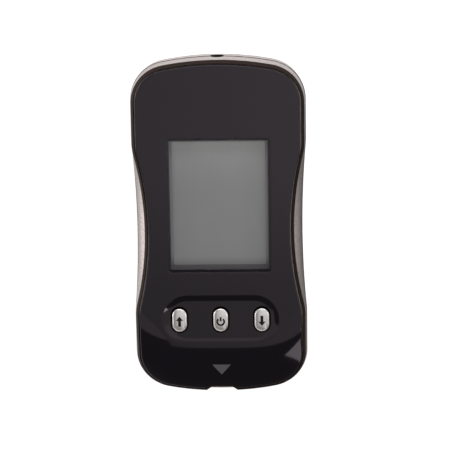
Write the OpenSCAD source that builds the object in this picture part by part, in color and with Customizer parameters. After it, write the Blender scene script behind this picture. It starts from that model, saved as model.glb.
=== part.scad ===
// Blood glucose meter: a handheld meter that lies on its flat back.
// +Z leaves the glossy face, +X is the width, +Y points to the data port end.
// The origin is the middle of the back. All sizes are millimetres.

/* [Body] */
// Length from the strip end to the data port end
body_l = 93.4; // [91:0.1:104]
// Width over the two lobes
body_w = 46.9; // [46:0.1:54]
// Thickness over the glossy face
body_h = 15; // [14.75:0.25:18]
// How far each side of the silver body is drawn in at the waist
waist_in = 1.1; // [0.4:0.1:1.4]
// Corner radius of the silver body in plan
corner_r = 10.6; // [9.5:0.1:13]
// Radius of the bowed data port end
port_bow_r = 77; // [70:1:200]
// Radius of the bowed strip end
strip_bow_r = 77; // [60:1:120]
// Distance along the body between the middles of the two lobes
lobe_pitch = 48.4; // [45:0.2:51]
// Radius where a lobe turns into the waist
lobe_r = 17; // [8:0.5:20]
// Distance from the glossy face down to the line where the two silver shells meet
parting_down = 6.1; // [5.9:0.1:6.4]
// Rounding between the back and the sides
back_r = 4.5; // [3.5:0.25:4.75]
// How far the rear shell leans in from the parting line to that rounding
rear_in = 0.4; // [0.1:0.05:0.6]
// Wall of the silver shells
wall_t = 1.5; // [1.2:0.1:1.7]
// Skin over the back
skin_t = 1.4; // [1.3:0.05:1.7]
// Gap at the meeting line of the shells
seam_gap = 0.06; // [0.02:0.01:0.12]

/* [Face] */
// How far the face edge stands in from the silver body at the lobes
face_in = 0.4; // [0.2:0.1:0.9]
// How far each side of the face is drawn in at the waist
face_waist_in = 2.95; // [2:0.05:3.4]
// How far the face edge stands in at the data port end
face_port_in = 0.4; // [0.2:0.1:1.2]
// How far the face edge stands in at the strip end
face_strip_in = 0.2; // [0.1:0.1:0.8]
// Corner radius of the face edge in plan
face_corner_r = 10.3; // [8:0.1:12]
// Thickness of the glossy faceplate
face_t = 1.6; // [1.4:0.05:1.8]
// Rounding of the faceplate edge
face_edge_r = 0.4; // [0.2:0.05:0.6]
// Adhesive tape under the faceplate
tape_t = 0.2; // [0.1:0.05:0.3]
// Width of the adhesive tape
tape_w = 1.6; // [1:0.1:2]
// Deck of the front shell that carries the faceplate
deck_t = 1.2; // [1:0.1:1.4]
// Width of the dark bezel in plan
bezel_w = 0.9; // [0.6:0.1:1.2]
// Height that the bezel climbs
bezel_h = 1.45; // [1:0.05:1.55]
// Groove between bezel and faceplate
groove_w = 0.22; // [0.12:0.02:0.4]
// Length of the chin, where the face curves down to the strip end
chin_l = 21.3; // [18:0.1:22]
// Radius of that curve
chin_r = 64; // [60:1:110]
// How much earlier the chin begins at the sides of the face
chin_bow = 5.8; // [2:0.2:6.4]

/* [Display] */
// Width of the window in the faceplate
window_w = 27.2; // [24:0.2:28]
// Length of the window in the faceplate
window_l = 36.4; // [32:0.2:37]
// Middle of the window along the body
window_y = 6.9; // [5.5:0.1:7.5]
// Corner radius of the window
window_r = 0.8; // [0.3:0.1:2]
// Depth of the lens below the face
lens_drop = 0.55; // [0.3:0.05:0.6]
// Thickness of the lens
lens_t = 0.8; // [0.5:0.05:0.9]
// Gap around the lens
lens_gap = 0.08; // [0.04:0.02:0.2]
// Ledge that the lens rests on
lens_ledge = 0.5; // [0.3:0.05:0.7]
// Margin between the window and the display that shows in it
view_margin = 1.15; // [0.8:0.05:1.8]
// Thickness of the liquid crystal panel
panel_t = 1.7; // [1.3:0.1:1.9]
// How far the panel reaches under its frame on each side
panel_lap = 1.6; // [1.2:0.1:1.9]
// Thickness of the frame over the panel
panel_frame_t = 0.5; // [0.4:0.05:0.7]
// Wall of that frame
panel_frame_wall = 0.9; // [0.6:0.1:1]
// Width of the rails in the frame that carry the panel
panel_rail = 0.8; // [0.5:0.1:1.2]
// Width of the rubber connector strip under the panel
zebra_w = 1.6; // [1:0.1:1.8]

/* [Keys] */
// Width of a key
key_w = 4.15; // [3.6:0.05:4.8]
// Length of a key
key_l = 6.85; // [5.5:0.05:7.6]
// Distance between two keys
key_pitch = 11.15; // [10:0.05:11.6]
// Distance from the strip end to the row of keys
key_in = 21.95; // [21.4:0.05:22.6]
// Height of a key above the floor of the dish
key_rise = 0.75; // [0.5:0.05:1.1]
// Rounding of the key top
key_crown = 0.4; // [0.2:0.05:0.5]
// Gap around a key
key_gap = 0.15; // [0.1:0.01:0.25]
// Flange that keeps a key under the deck
key_flange = 0.75; // [0.5:0.05:0.9]
// Thickness of that flange
key_flange_t = 0.7; // [0.5:0.05:1]
// Diameter of the stem under a key
key_stem_d = 2.4; // [1.8:0.1:3]
// Travel of a key
key_travel = 0.45; // [0.3:0.05:0.5]
// Width of the dish around the keys
dish_w = 31.8; // [30:0.2:33]
// Length of the dish around the keys
dish_l = 13.4; // [11:0.2:14]
// Depth of the dish
dish_depth = 0.6; // [0.3:0.05:0.7]
// Diameter of a snap dome
dome_d = 6; // [5:0.1:7]
// Thickness of a snap dome
dome_t = 0.12; // [0.08:0.01:0.16]

/* [Data port] */
// Bore of the data socket
jack_bore_d = 3.6; // [3.5:0.05:3.7]
// Depth of the data socket
jack_depth = 11; // [9:0.5:12]
// Width and height of the socket body
jack_body = 5.2; // [4.8:0.1:5.4]
// Length of the socket body behind its bore
jack_back = 1.2; // [0.8:0.1:2]
// Height of the socket's solder tabs above the board
jack_tab_h = 2.2; // [1.8:0.1:2.4]

/* [Strip port] */
// Width of the slot for a test strip
slot_w = 7.4; // [6:0.1:8]
// Height of the slot for a test strip
slot_h = 1.1; // [0.8:0.05:1.3]
// Distance from the line where the shells meet down to the middle of the slot
slot_down = 1.2; // [1:0.05:1.4]
// Depth that a strip goes into the connector
slot_depth = 8.5; // [7:0.25:9]
// Flat width of the notch at the strip end
notch_w = 5.7; // [4:0.1:7]
// Mouth width of the notch
notch_mouth = 10.6; // [8:0.1:13]
// Depth of the notch
notch_depth = 1.85; // [1.2:0.05:2.2]
// Wall behind the notch
port_wall = 1.6; // [1.2:0.1:2]
// Wall of the strip connector around its slot
connector_wall = 1.7; // [1.2:0.1:2]
// Number of spring contacts in the strip connector
contact_count = 4; // [2:1:5]
// Width of a spring contact
contact_w = 0.6; // [0.4:0.05:0.8]
// Thickness of the contact metal
contact_t = 0.2; // [0.15:0.01:0.25]
// Roof of the strip connector over its contacts
connector_roof = 0.5; // [0.3:0.05:0.7]
// Least floor of the strip connector under its slot
connector_floor = 0.9; // [0.6:0.05:1.4]

/* [Battery bay] */
// Diameter of a coin cell
cell_d = 20; // [19:0.1:20.2]
// Thickness of a coin cell
cell_t = 3.2; // [2.5:0.1:3.3]
// Distance between the two coin cells
cell_pitch = 20.8; // [20.7:0.05:21.1]
// Distance from the data port end to the middle of the cells
cell_in = 24.7; // [24.4:0.1:25]
// Gap around a coin cell
cell_gap = 0.2; // [0.1:0.05:0.25]
// Height of the smaller cap of a coin cell
cell_cap_t = 0.3; // [0.2:0.05:0.4]
// Width of the battery door
door_w = 36.6; // [32:0.2:36.8]
// Length of the battery door along the back
door_l = 37.1; // [36.8:0.1:38]
// Thickness of the battery door
door_t = 1.25; // [1.1:0.05:1.3]
// Gap around the battery door
door_gap = 0.12; // [0.08:0.01:0.2]
// Reach of the tongues along the battery door
tongue_w = 0.6; // [0.4:0.05:0.7]
// Thickness of the tongues
tongue_t = 0.35; // [0.25:0.05:0.45]
// Roof of the bay under the board
roof_t = 0.65; // [0.5:0.05:0.75]
// Width of the spring contacts of the coin cells
cell_contact_w = 6; // [4:0.5:7]
// Width of the tails that join those contacts to the board
tail_w = 1.2; // [0.8:0.1:1.4]
// Depth of the grip and label recesses in the back
recess_depth = 0.25; // [0.15:0.05:0.4]
// Number of grip grooves across the battery door
grip_count = 5; // [3:1:6]
// Length of a grip groove
grip_l = 11; // [8:0.5:20]
// Width of a grip groove
grip_w = 0.7; // [0.4:0.1:1]
// Distance between two grip grooves
grip_pitch = 1.6; // [1.2:0.1:2]
// Distance from the data port end to the first grip groove
grip_in = 12; // [11.5:0.5:14]
// Width of the arrow that shows the way of the battery door
arrow_w = 4; // [3:0.5:6]
// Length of that arrow
arrow_l = 2.2; // [1.5:0.1:2.6]
// Distance from the data port end to the base of the arrow
arrow_in = 8; // [7.5:0.1:9]
// Width of the label recess
label_w = 27; // [20:0.5:30]
// Length of the label recess
label_l = 28; // [20:0.5:32]
// Corner radius of the label recess
label_r = 2; // [1:0.25:4]
// Distance from the strip end to the label recess
label_in = 17; // [16:0.5:20]

/* [Board] */
// Thickness of the circuit board
board_t = 1; // [0.8:0.05:1.1]
// Gap around the circuit board
board_gap = 0.8; // [0.5:0.1:1.2]
// Gap between the bay roof and the board
board_lift = 0.25; // [0.1:0.05:0.35]
// Diameter of the sounder
sounder_d = 12; // [9:0.5:13]
// Thickness of the sounder
sounder_t = 2.2; // [1.5:0.1:2.6]
// Diameter of the sound hole
sounder_hole_d = 1.6; // [1:0.1:3]
// Distance from the row of keys to the sounder
sounder_up = 5; // [4:0.25:6]
// Gap between the board and what stands in its cut-outs
board_fit = 0.2; // [0.1:0.05:0.3]
// Width and length of the microcontroller
controller_w = 10; // [7:0.5:12]
// Distance from the middle of the window up to the microcontroller
controller_up = 6; // [5:0.5:7]
// Width of the memory and amplifier chips
chip_w = 3.9; // [3:0.1:5]
// Length of the memory and amplifier chips
chip_l = 4.9; // [4:0.1:6.5]
// Thickness of a chip body
chip_h = 1.2; // [0.8:0.1:1.5]
// Sideways place of the memory chip on one side and the amplifier on the other
chip_x = 8; // [7.5:0.25:9]
// Distance from the middle of the window down to the memory chip
memory_down = 6; // [5:0.5:8]
// Distance from the middle of the window down to the amplifier
amplifier_down = 10; // [8:0.5:11]
// Distance between two leads of a chip
lead_pitch = 1.27; // [0.8:0.01:1.3]
// Width of a lead
lead_w = 0.4; // [0.2:0.05:0.5]
// Number of passive parts in each of their two rows
passive_count = 6; // [3:1:6]
// Length of a passive part
passive_l = 1.6; // [1:0.1:2]
// Width of a passive part
passive_w = 0.8; // [0.5:0.05:1]
// Height of a passive part
passive_h = 0.6; // [0.3:0.05:1]
// Distance between two passive parts
passive_pitch = 3; // [2.4:0.1:3.2]
// Distance from the middle of the window up to the first row of passive parts
passive_up = 14; // [13:0.5:15]
// Diameter of the timing crystal
crystal_d = 2; // [1.4:0.1:2.4]
// Length of the timing crystal
crystal_l = 6; // [4.5:0.1:6.5]
// Gap between the frame of the display and the timing crystal
crystal_gap = 1; // [0.5:0.25:2]

/* [Fasteners] */
// Diameter of the case screws
screw_d = 2; // [1.6:0.1:2.2]
// Diameter of the screw heads
screw_head_d = 3.8; // [3.4:0.1:4]
// Height of the screw heads
screw_head_h = 1.3; // [1:0.1:1.5]
// Height above the back where the heads of the case screws seat
head_seat = 3.2; // [2.8:0.1:3.4]
// Length of the case screws under the head
screw_l = 7; // [6.5:0.25:7.25]
// Wall of a screw boss
boss_wall = 1.1; // [0.9:0.1:1.3]
// Sideways place of the two screws at the strip end
strip_screw_x = 15; // [14:0.25:15.5]
// Distance from the strip end to those two screws
strip_screw_in = 11.5; // [10.5:0.25:12]
// Sideways place of the two screws under the battery door
bay_screw_x = 13.5; // [11:0.25:14]
// Distance from the data port end to those two screws
bay_screw_in = 8.7; // [8.2:0.1:9.2]
// Sideways place of the two board screws
board_screw_x = 16.4; // [16:0.1:16.8]
// Distance from the row of keys to the two board screws
board_screw_up = 6.5; // [6:0.25:8]
// Diameter of the heads of the board screws
board_head_d = 3; // [2.6:0.1:3.4]
// Height of the heads of the board screws
board_head_h = 0.8; // [0.6:0.1:1]
// Length of the board screws under the head
board_screw_l = 4; // [3:0.25:4.5]

/* [Hidden] */

// Colours of the materials
SILVER = "#b9b1ae";
TEXTURED = "#38332f";
GLOSS = "#1a191b";
METAL = "#c9c9cc";
GOLD = "#c8a44a";
BLACK = "#202022";

// Steps of the arcs in an outline, and of round solids
CORNER_STEPS = 8;
END_STEPS = 4;
LOBE_STEPS = 3;
WAIST_STEPS = 10;
FINE = 48;
// Overlap of a cut with the face that it passes, and a reach past the whole body
EPS = 0.01;
FAR = 60;
// Running clearance between stacked pieces
CLEAR = 0.05;

strip_end = -body_l / 2;
port_end = body_l / 2;
// Height of the line where the shells meet, and of the middle of the strip slot
parting_z = body_h - parting_down;
slot_z = parting_z - slot_down;

// Heights of the stack, from the back up to the board and from the face down to the panel
well_z = door_t + door_gap;
well_top = well_z + cell_t + contact_t + CLEAR;
bay_top = well_top + roof_t;
board_z = bay_top + board_lift;
board_top = board_z + board_t;
tape_z = body_h - face_t - tape_t;
deck_under = tape_z - deck_t;
frame_top = deck_under - CLEAR;
panel_z = frame_top - panel_frame_t - CLEAR - panel_t;
dish_z = body_h - dish_depth;
key_top = dish_z + key_rise;
shelf_top = well_z + skin_t;
tongue_z = (door_t - tongue_t) / 2;
dome_h = key_travel + dome_t;
flange_fit = key_flange + key_gap;
view_w = window_w - 2 * view_margin;
view_l = window_l - 2 * view_margin;
key_y = strip_end + key_in;
chin_y = strip_end + chin_l;
cell_y = port_end - cell_in;
door_y = port_end - door_l;
jack_front = port_end - wall_t - face_port_in;
cell_reach = cell_d / 2 + cell_gap;
boss_r = screw_d / 2 + boss_wall;

// Places in the strip port
port_back = strip_end + notch_depth + port_wall;
port_half = slot_w / 2 + port_wall;
connector_front = port_back + CLEAR;
connector_back = connector_front + slot_depth + connector_wall;
connector_half = slot_w / 2 + connector_wall;
contact_pitch = slot_w / (contact_count + 0.5);
contact_z = slot_z + slot_h / 2;
connector_top = contact_z + contact_t + connector_roof;
// It stands level with the board's underside, or lower where the slot needs it
connector_foot = min(board_z, slot_z - slot_h / 2 - connector_floor);

// ---- Plan outlines: chains of tangent arcs ----

// An outline is [half width, depth of the waist, strip end, data port end, corner radius].
BODY = [body_w / 2, waist_in, strip_end, port_end, corner_r];
FACE = [body_w / 2 - face_in, face_waist_in, strip_end + face_strip_in, port_end - face_port_in,
    face_corner_r];

function arc(x, y, r, a0, a1, n, from = 0) =
    [for (i = [from:n]) let (a = a0 + (a1 - a0) * i / n) [x + r * cos(a), y + r * sin(a)]];

// Distance from an end to the middle of its corner arcs, where the end bows with radius bow
function corner_off(o, bow) = bow - sqrt(pow(bow - o[4], 2) - pow(o[0] - o[4], 2));

// The +X half of an outline drawn in by d, from the strip end to the data port end
function half_outline(o, d) =
    let (hw = o[0], dip = o[1], rc = o[4], y = lobe_pitch / 2,
        reach = (dip * dip + y * y) / (2 * dip), waist_r = reach - lobe_r, turn = asin(y / reach),
        y0 = o[2] + corner_off(o, strip_bow_r), y1 = o[3] - corner_off(o, port_bow_r),
        a0 = atan2(y0 - o[2] - strip_bow_r, hw - rc), a1 = atan2(y1 - o[3] + port_bow_r, hw - rc))
    concat(
        arc(0, o[2] + strip_bow_r, strip_bow_r - d, -90, a0, END_STEPS),
        arc(hw - rc, y0, rc - d, a0, 0, CORNER_STEPS, 1),
        arc(hw - lobe_r, -y, lobe_r - d, 0, turn, LOBE_STEPS),
        arc(hw - dip + waist_r, 0, waist_r + d, 180 + turn, 180 - turn, WAIST_STEPS, 1),
        arc(hw - lobe_r, y, lobe_r - d, -turn, 0, LOBE_STEPS, 1),
        arc(hw - rc, y1, rc - d, 0, a1, CORNER_STEPS),
        arc(0, o[3] - port_bow_r, port_bow_r - d, a1, 90, END_STEPS, 1));

function outline(o, d = 0) = let (h = half_outline(o, d))
    concat(h, [for (i = [len(h) - 2:-1:1]) [-h[i][0], h[i][1]]]);

// ---- Heights of the face: flat, then curving down towards the strip end ----

function chin(p) =
    let (t = chin_y + chin_bow * pow(abs(p[0]) / FACE[0], 4) - p[1])
    p[1] > 0 || t <= 0 ? 0 : t * t / (2 * chin_r);

function on_face(ring, z, least = -FAR) = [for (p = ring) [p[0], p[1], max(least, z - chin(p))]];
function level(ring, z) = [for (p = ring) [p[0], p[1], z]];
function reversed(list) = [for (i = [len(list) - 1:-1:0]) list[i]];

// Smaller copies of a ring, which carry a curved cap towards its middle
CAP_SCALES = [0.94, 0.87, 0.8, 0.72, 0.64, 0.55, 0.3];
function cap(ring, z, least = -FAR) =
    [for (s = CAP_SCALES) on_face([for (p = ring) [p[0] * s, p[1] * s]], z, least)];

// ---- Solids from rings ----

// A closed solid through a stack of rings, each end closed to a middle point
module loft(rings) {
    n = len(rings[0]);
    m = len(rings);
    low = [0, 0, rings[0][floor(n / 4)][2]];
    high = [0, 0, rings[m - 1][floor(n / 4)][2]];
    walls = [for (k = [0:m - 2], i = [0:n - 1]) let (j = (i + 1) % n, a = k * n)
        each [[a + i, a + n + i, a + n + j], [a + i, a + n + j, a + j]]];
    base = [for (i = [0:n - 1]) [(i + 1) % n, m * n, i]];
    top = [for (i = [0:n - 1]) [(m - 1) * n + i, m * n + 1, (m - 1) * n + (i + 1) % n]];
    polyhedron(concat([for (r = rings) each r], [low, high]), concat(walls, base, top),
        convexity = 10);
}

// A closed band along an outline; the profile is a list of [drawn in by, height]
module band(o, profile) {
    rings = [for (p = profile) on_face(outline(o, p[0]), p[1])];
    n = len(rings[0]);
    m = len(rings);
    polyhedron([for (r = rings) each r], [for (k = [0:m - 1], i = [0:n - 1])
        let (j = (i + 1) % n, a = k * n, b = ((k + 1) % m) * n)
        each [[a + i, b + i, b + j], [a + i, b + j, a + j]]], convexity = 10);
}

// w across X, l along Y, from z = 0 to h
module stadium(w, l, h) {
    r = min(w, l) / 2;
    block = w > l ? [w - l, l, h] : [w, l - w, h];
    for (s = [-1, 1])
        translate([s * (w / 2 - r), s * (l / 2 - r), 0]) cylinder(r = r, h = h, $fn = FINE);
    translate([-block[0] / 2, -block[1] / 2, 0]) cube(block);
}

module rounded_block(w, l, h, r) {
    for (sx = [-1, 1], sy = [-1, 1])
        translate([sx * (w / 2 - r), sy * (l / 2 - r), 0]) cylinder(r = r, h = h, $fn = FINE);
    translate([-w / 2 + r, -l / 2, 0]) cube([w - 2 * r, l, h]);
    translate([-w / 2, -l / 2 + r, 0]) cube([w, l - 2 * r, h]);
}

// A block between two corners
module span(low, high) { translate(low) cube(high - low); }

module post(x, y, r, z0, z1) { translate([x, y, z0]) cylinder(r = r, h = z1 - z0, $fn = FINE); }

module mirrored_x() {
    children();
    mirror([1, 0, 0]) children();
}

// The notch at the strip end, as a cut through everything above z
module notch_cut(z) {
    side = (notch_mouth - notch_w) / 2 / notch_depth;
    deep = strip_end + notch_depth;
    translate([0, 0, z]) linear_extrude(FAR) polygon([[-notch_w / 2, deep], [notch_w / 2, deep],
        [notch_w / 2 + side * FAR, deep - FAR], [-notch_w / 2 - side * FAR, deep - FAR]]);
}

// The slot of the strip port, from y0 to y1
module slot_cut(y0, y1) {
    span([-slot_w / 2, y0, slot_z - slot_h / 2], [slot_w / 2, y1, slot_z + slot_h / 2]);
}

module jack_cut(r, y0) {
    translate([0, y0, parting_z]) rotate([-90, 0, 0]) cylinder(r = r, h = FAR, $fn = FINE);
}

// The room of the socket body inside the shells
module socket_room() {
    half = jack_body / 2 + board_fit;
    span([-half, jack_front - jack_depth - jack_back - board_fit, parting_z - half],
        [half, jack_front, parting_z + half]);
}

module at_keys() { for (i = [-1:1]) translate([i * key_pitch, key_y, 0]) children(); }

// ---- Glossy front ----

module faceplate() {
    edge = bezel_w + groove_w;
    under = outline(FACE, edge);
    top = outline(FACE, edge + face_edge_r);
    color(GLOSS) difference() {
        loft(concat(
            reversed(cap(under, body_h - face_t)),
            [on_face(under, body_h - face_t), on_face(under, body_h - face_edge_r),
                on_face(outline(FACE, edge + 0.3 * face_edge_r), body_h - 0.3 * face_edge_r),
                on_face(top, body_h)],
            cap(top, body_h)));
        translate([0, window_y, 0]) {
            translate([0, 0, body_h - lens_drop - lens_t])
                rounded_block(window_w, window_l, FAR, window_r);
            rounded_block(window_w - 2 * lens_ledge, window_l - 2 * lens_ledge, FAR, window_r);
        }
        translate([0, key_y, dish_z]) stadium(dish_w, dish_l, FAR);
        at_keys() stadium(key_w + 2 * key_gap, key_l + 2 * key_gap, FAR);
        notch_cut(0);
    }
}

module front_bezel() {
    low = tape_z + CLEAR;
    color(TEXTURED) difference() {
        band(FACE, [[0.04, low], [0.04, low + 0.15], [bezel_w - 0.1, tape_z + bezel_h],
            [bezel_w, tape_z + bezel_h], [bezel_w, low]]);
        notch_cut(0);
    }
}

module face_tape() {
    outer = bezel_w + groove_w + 0.2;
    high = tape_z + tape_t;
    color(BLACK) difference() {
        band(FACE, [[outer, tape_z], [outer, high], [outer + tape_w, high], [outer + tape_w, tape_z]]);
        // It ends where the face begins to curve down
        span([-FAR, -FAR, 0], [FAR, chin_y + chin_bow, FAR]);
    }
}

// ---- Silver shells ----

// Plan of the flank from the parting line (t = 0) to the face edge (t = 1), drawn in by d
function flank(t, d) = let (b = outline(BODY, d), f = outline(FACE, d), k = t * t)
    [for (i = [0:len(b) - 1]) let (p = b[i] * (1 - k) + f[i] * k)
        [p[0], p[1], parting_z + t * (tape_z - chin(f[i]) - parting_z)]];

module front_outer() {
    rim = outline(FACE);
    loft(concat([for (t = [0, 0.3, 0.6, 0.82, 1]) flank(t, 0)], cap(rim, tape_z)));
}

module front_cavity() {
    rim = outline(FACE, wall_t);
    least = parting_z + 2 * CLEAR;
    loft(concat([level(outline(BODY, wall_t), parting_z - EPS),
        on_face(rim, deck_under, least)], cap(rim, deck_under, least)));
}

// Solid block behind the notch, which the strip port passes through
module port_block() { span([-port_half, strip_end, 0], [port_half, port_back, body_h]); }

module at_case_screws() {
    mirrored_x() {
        translate([strip_screw_x, strip_end + strip_screw_in]) children();
        translate([bay_screw_x, port_end - bay_screw_in]) children();
    }
}
module at_board_screws() {
    mirrored_x() translate([board_screw_x, key_y + board_screw_up]) children();
}

// The front shell with its screw bosses, before the seam and the holes are cut
module front_shell() {
    difference() {
        front_outer();
        front_cavity();
    }
    intersection() {
        front_outer();
        union() {
            port_block();
            at_case_screws() post(0, 0, boss_r, parting_z, body_h);
        }
    }
}

module front_case() {
    color(SILVER) difference() {
        union() {
            difference() {
                front_shell();
                span([-FAR, -FAR, parting_z - EPS], [FAR, FAR, parting_z + seam_gap / 2]);
            }
            at_board_screws() post(0, 0, boss_r, board_top, deck_under + EPS);
        }
        at_case_screws() post(0, 0, screw_d / 2, 0, head_seat + screw_l + CLEAR);
        at_board_screws() post(0, 0, screw_d / 2, 0, deck_under);
        translate([0, window_y, parting_z]) rounded_block(window_w, window_l, FAR, window_r);
        at_keys() {
            stadium(key_w + 2 * key_gap, key_l + 2 * key_gap, FAR);
            // Flat seat for the flange of the key
            stadium(key_w + 2 * flange_fit, key_l + 2 * flange_fit, deck_under);
        }
        jack_cut(jack_bore_d / 2, jack_front);
        notch_cut(0);
        slot_cut(-FAR, port_back + EPS);
    }
}

// Rings of the rear shell drawn in by d, with its floor at height z
function rear_rings(d, z, top) = concat(
    [for (a = [0:18:90]) level(outline(BODY, rear_in + d + (back_r - d) * (1 - sin(a))),
        z + (back_r - z) * (1 - cos(a)))],
    [for (t = [0.5, 1]) level(outline(BODY, d + rear_in * pow(1 - t, 2)),
        back_r + t * (top - back_r))]);

module rear_outer() { loft(rear_rings(0, 0, parting_z - seam_gap / 2)); }

module at_cells() { mirrored_x() translate([cell_pitch / 2, cell_y]) children(); }

module rear_solids() {
    // Tub around the coin cells, and the shelf over the battery door
    span([-FAR, cell_y - cell_reach - wall_t, 0], [FAR, cell_y + cell_reach + contact_t + wall_t, bay_top]);
    span([-FAR, door_y - door_gap - wall_t, 0], [FAR, FAR, shelf_top]);
    port_block();
    at_case_screws() {
        post(0, 0, screw_head_d / 2 + CLEAR + boss_wall, 0, head_seat + skin_t);
        post(0, 0, boss_r, 0, body_h);
    }
}

module door_cuts() {
    half = door_w / 2 + door_gap;
    span([-half, door_y - door_gap, -FAR], [half, FAR, well_z]);
    span([-half - tongue_w, door_y - door_gap, tongue_z - door_gap],
        [half + tongue_w, FAR, tongue_z + tongue_t + door_gap]);
}

module rear_case() {
    pocket = cell_contact_w / 2 + CLEAR;
    tail = tail_w / 2 + CLEAR;
    color(SILVER) difference() {
        rear_outer();
        difference() {
            loft(rear_rings(wall_t, skin_t, parting_z + EPS));
            rear_solids();
        }
        door_cuts();
        at_cells() {
            post(0, 0, cell_reach, well_z - EPS, well_top);
            span([-pocket, 0, well_z - EPS], [pocket, cell_reach + contact_t, well_top]);
            span([-tail, cell_reach - EPS, well_top - EPS], [tail, cell_reach + contact_t, FAR]);
            post(0, 0, tail, well_top - EPS, FAR);
        }
        at_case_screws() {
            post(0, 0, screw_head_d / 2 + CLEAR, -FAR, head_seat);
            post(0, 0, screw_d / 2 + 2 * CLEAR, 0, FAR);
        }
        jack_cut(jack_bore_d / 2, jack_front);
        socket_room();
        notch_cut(slot_z - slot_h / 2);
        slot_cut(-FAR, port_back + EPS);
        translate([0, strip_end + label_in + label_l / 2, -FAR])
            rounded_block(label_w, label_l, FAR + recess_depth, label_r);
    }
}

module battery_door() {
    color(SILVER) difference() {
        union() {
            intersection() {
                rear_outer();
                span([-door_w / 2, door_y, -EPS], [door_w / 2, FAR, door_t]);
            }
            span([-door_w / 2 - tongue_w, door_y, tongue_z],
                [door_w / 2 + tongue_w, port_end - corner_r, tongue_z + tongue_t]);
        }
        for (i = [0:grip_count - 1]) translate([0, port_end - grip_in - i * grip_pitch, -FAR])
            stadium(grip_l, grip_w, FAR + recess_depth);
        translate([0, port_end - arrow_in, -FAR]) linear_extrude(FAR + recess_depth)
            polygon([[-arrow_w / 2, 0], [arrow_w / 2, 0], [0, arrow_l]]);
    }
}

// ---- Display ----

module display_lens() {
    color(BLACK) translate([0, window_y, body_h - lens_drop - lens_t])
        rounded_block(window_w - 2 * lens_gap, window_l - 2 * lens_gap, lens_t, window_r);
}

module lcd_panel() {
    color("#7a7a78") translate([0, window_y, panel_z])
        rounded_block(view_w + 2 * panel_lap, view_l + 2 * panel_lap, panel_t, panel_frame_t);
}

module lcd_frame() {
    in_w = view_w + 2 * (panel_lap + CLEAR);
    in_l = view_l + 2 * (panel_lap + CLEAR);
    color(TEXTURED) translate([0, window_y, 0]) {
        difference() {
            translate([0, 0, board_top]) rounded_block(in_w + 2 * panel_frame_wall,
                in_l + 2 * panel_frame_wall, frame_top - board_top, panel_frame_wall);
            rounded_block(in_w, in_l, frame_top - panel_frame_t, CLEAR);
            rounded_block(view_w, view_l, FAR, panel_frame_t);
        }
        mirrored_x() span([in_w / 2 - panel_rail, 0, board_top],
            [in_w / 2 + EPS, in_l / 2 + EPS, panel_z]);
    }
}

module zebra_strip() {
    y = window_y - view_l / 2 - panel_lap + panel_frame_t;
    color("#6b6f76") span([-view_w / 2, y, board_top], [view_w / 2, y + zebra_w, panel_z]);
}

// ---- Board and what it carries ----

module circuit_board() {
    socket = jack_body / 2 + board_fit;
    port = max(connector_half, port_half) + board_fit;
    tail = tail_w / 2 + CLEAR;
    color("#1f5a3a") difference() {
        translate([0, 0, board_z]) linear_extrude(board_t)
            polygon(outline(BODY, rear_in + wall_t + board_gap));
        at_case_screws() post(0, 0, boss_r + board_fit, 0, FAR);
        at_board_screws() post(0, 0, screw_d / 2 + CLEAR, 0, FAR);
        span([-socket, jack_front - jack_depth - jack_back - board_fit, 0], [socket, FAR, FAR]);
        span([-port, -FAR, 0], [port, connector_back + board_fit, FAR]);
        at_cells() {
            post(0, 0, tail, 0, FAR);
            span([-tail, cell_reach - CLEAR, 0], [tail, cell_reach + contact_t + CLEAR, FAR]);
        }
    }
}

module chip(x, y, w, l, h) {
    // Moulded body on two rows of flat leads, which lift it a little off the board
    rows = floor(l / lead_pitch);
    lift = lead_w / 3;
    translate([x, y, board_top]) {
        translate([-w / 2, -l / 2, lift]) cube([w, l, h]);
        for (s = [-1, 1], i = [0:rows - 1])
            translate([s * (w / 2 + lead_w) - lead_w, (i - (rows - 1) / 2) * lead_pitch - lead_w / 2, 0])
                cube([2 * lead_w, lead_w, 2 * lift]);
    }
}

module microcontroller() {
    color(BLACK) chip(0, window_y + controller_up, controller_w, controller_w, chip_h);
}
module memory_chip() { color(BLACK) chip(chip_x, window_y - memory_down, chip_w, chip_l, chip_h); }
module signal_amplifier() {
    color(BLACK) chip(-chip_x, window_y - amplifier_down, chip_w, chip_l, chip_h);
}

module at_passives() {
    for (i = [0:passive_count - 1], j = [0, 1])
        translate([(i - (passive_count - 1) / 2) * passive_pitch, window_y + passive_up + j * 2 * passive_w,
            board_top]) children();
}

module board_passives() {
    color("#a58a62") at_passives()
        span([-passive_l / 2, -passive_w / 2, 0], [passive_l / 2, passive_w / 2, passive_h]);
}

module timing_crystal() {
    y = window_y - view_l / 2 - panel_lap - CLEAR - panel_frame_wall - crystal_gap - crystal_d / 2;
    color(METAL) translate([0, y, board_top + crystal_d / 2]) rotate([0, 90, 0])
        translate([0, 0, -crystal_l / 2]) cylinder(r = crystal_d / 2, h = crystal_l, $fn = FINE);
}

module temperature_sensor() {
    color(BLACK) translate([connector_half + 2 * passive_l, connector_back + passive_w, board_top])
        cube([passive_l, passive_w, passive_h]);
}

module sounder() {
    color(BLACK) difference() {
        post(0, key_y + sounder_up, sounder_d / 2, board_z - sounder_t, board_z);
        post(0, key_y + sounder_up, sounder_hole_d / 2, 0, board_z - sounder_t / 2);
    }
}

// ---- Strip port ----

module at_contacts() {
    for (i = [0:contact_count - 1]) translate([(i - (contact_count - 1) / 2) * contact_pitch, 0, 0])
        children();
}

module strip_connector() {
    color("#e4e0d6") difference() {
        span([-connector_half, connector_front, connector_foot],
            [connector_half, connector_back, connector_top]);
        slot_cut(-FAR, connector_front + slot_depth);
        at_contacts() span([-contact_w / 2 - CLEAR, connector_front + connector_wall, contact_z - EPS],
            [contact_w / 2 + CLEAR, FAR, contact_z + contact_t]);
    }
}

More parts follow.
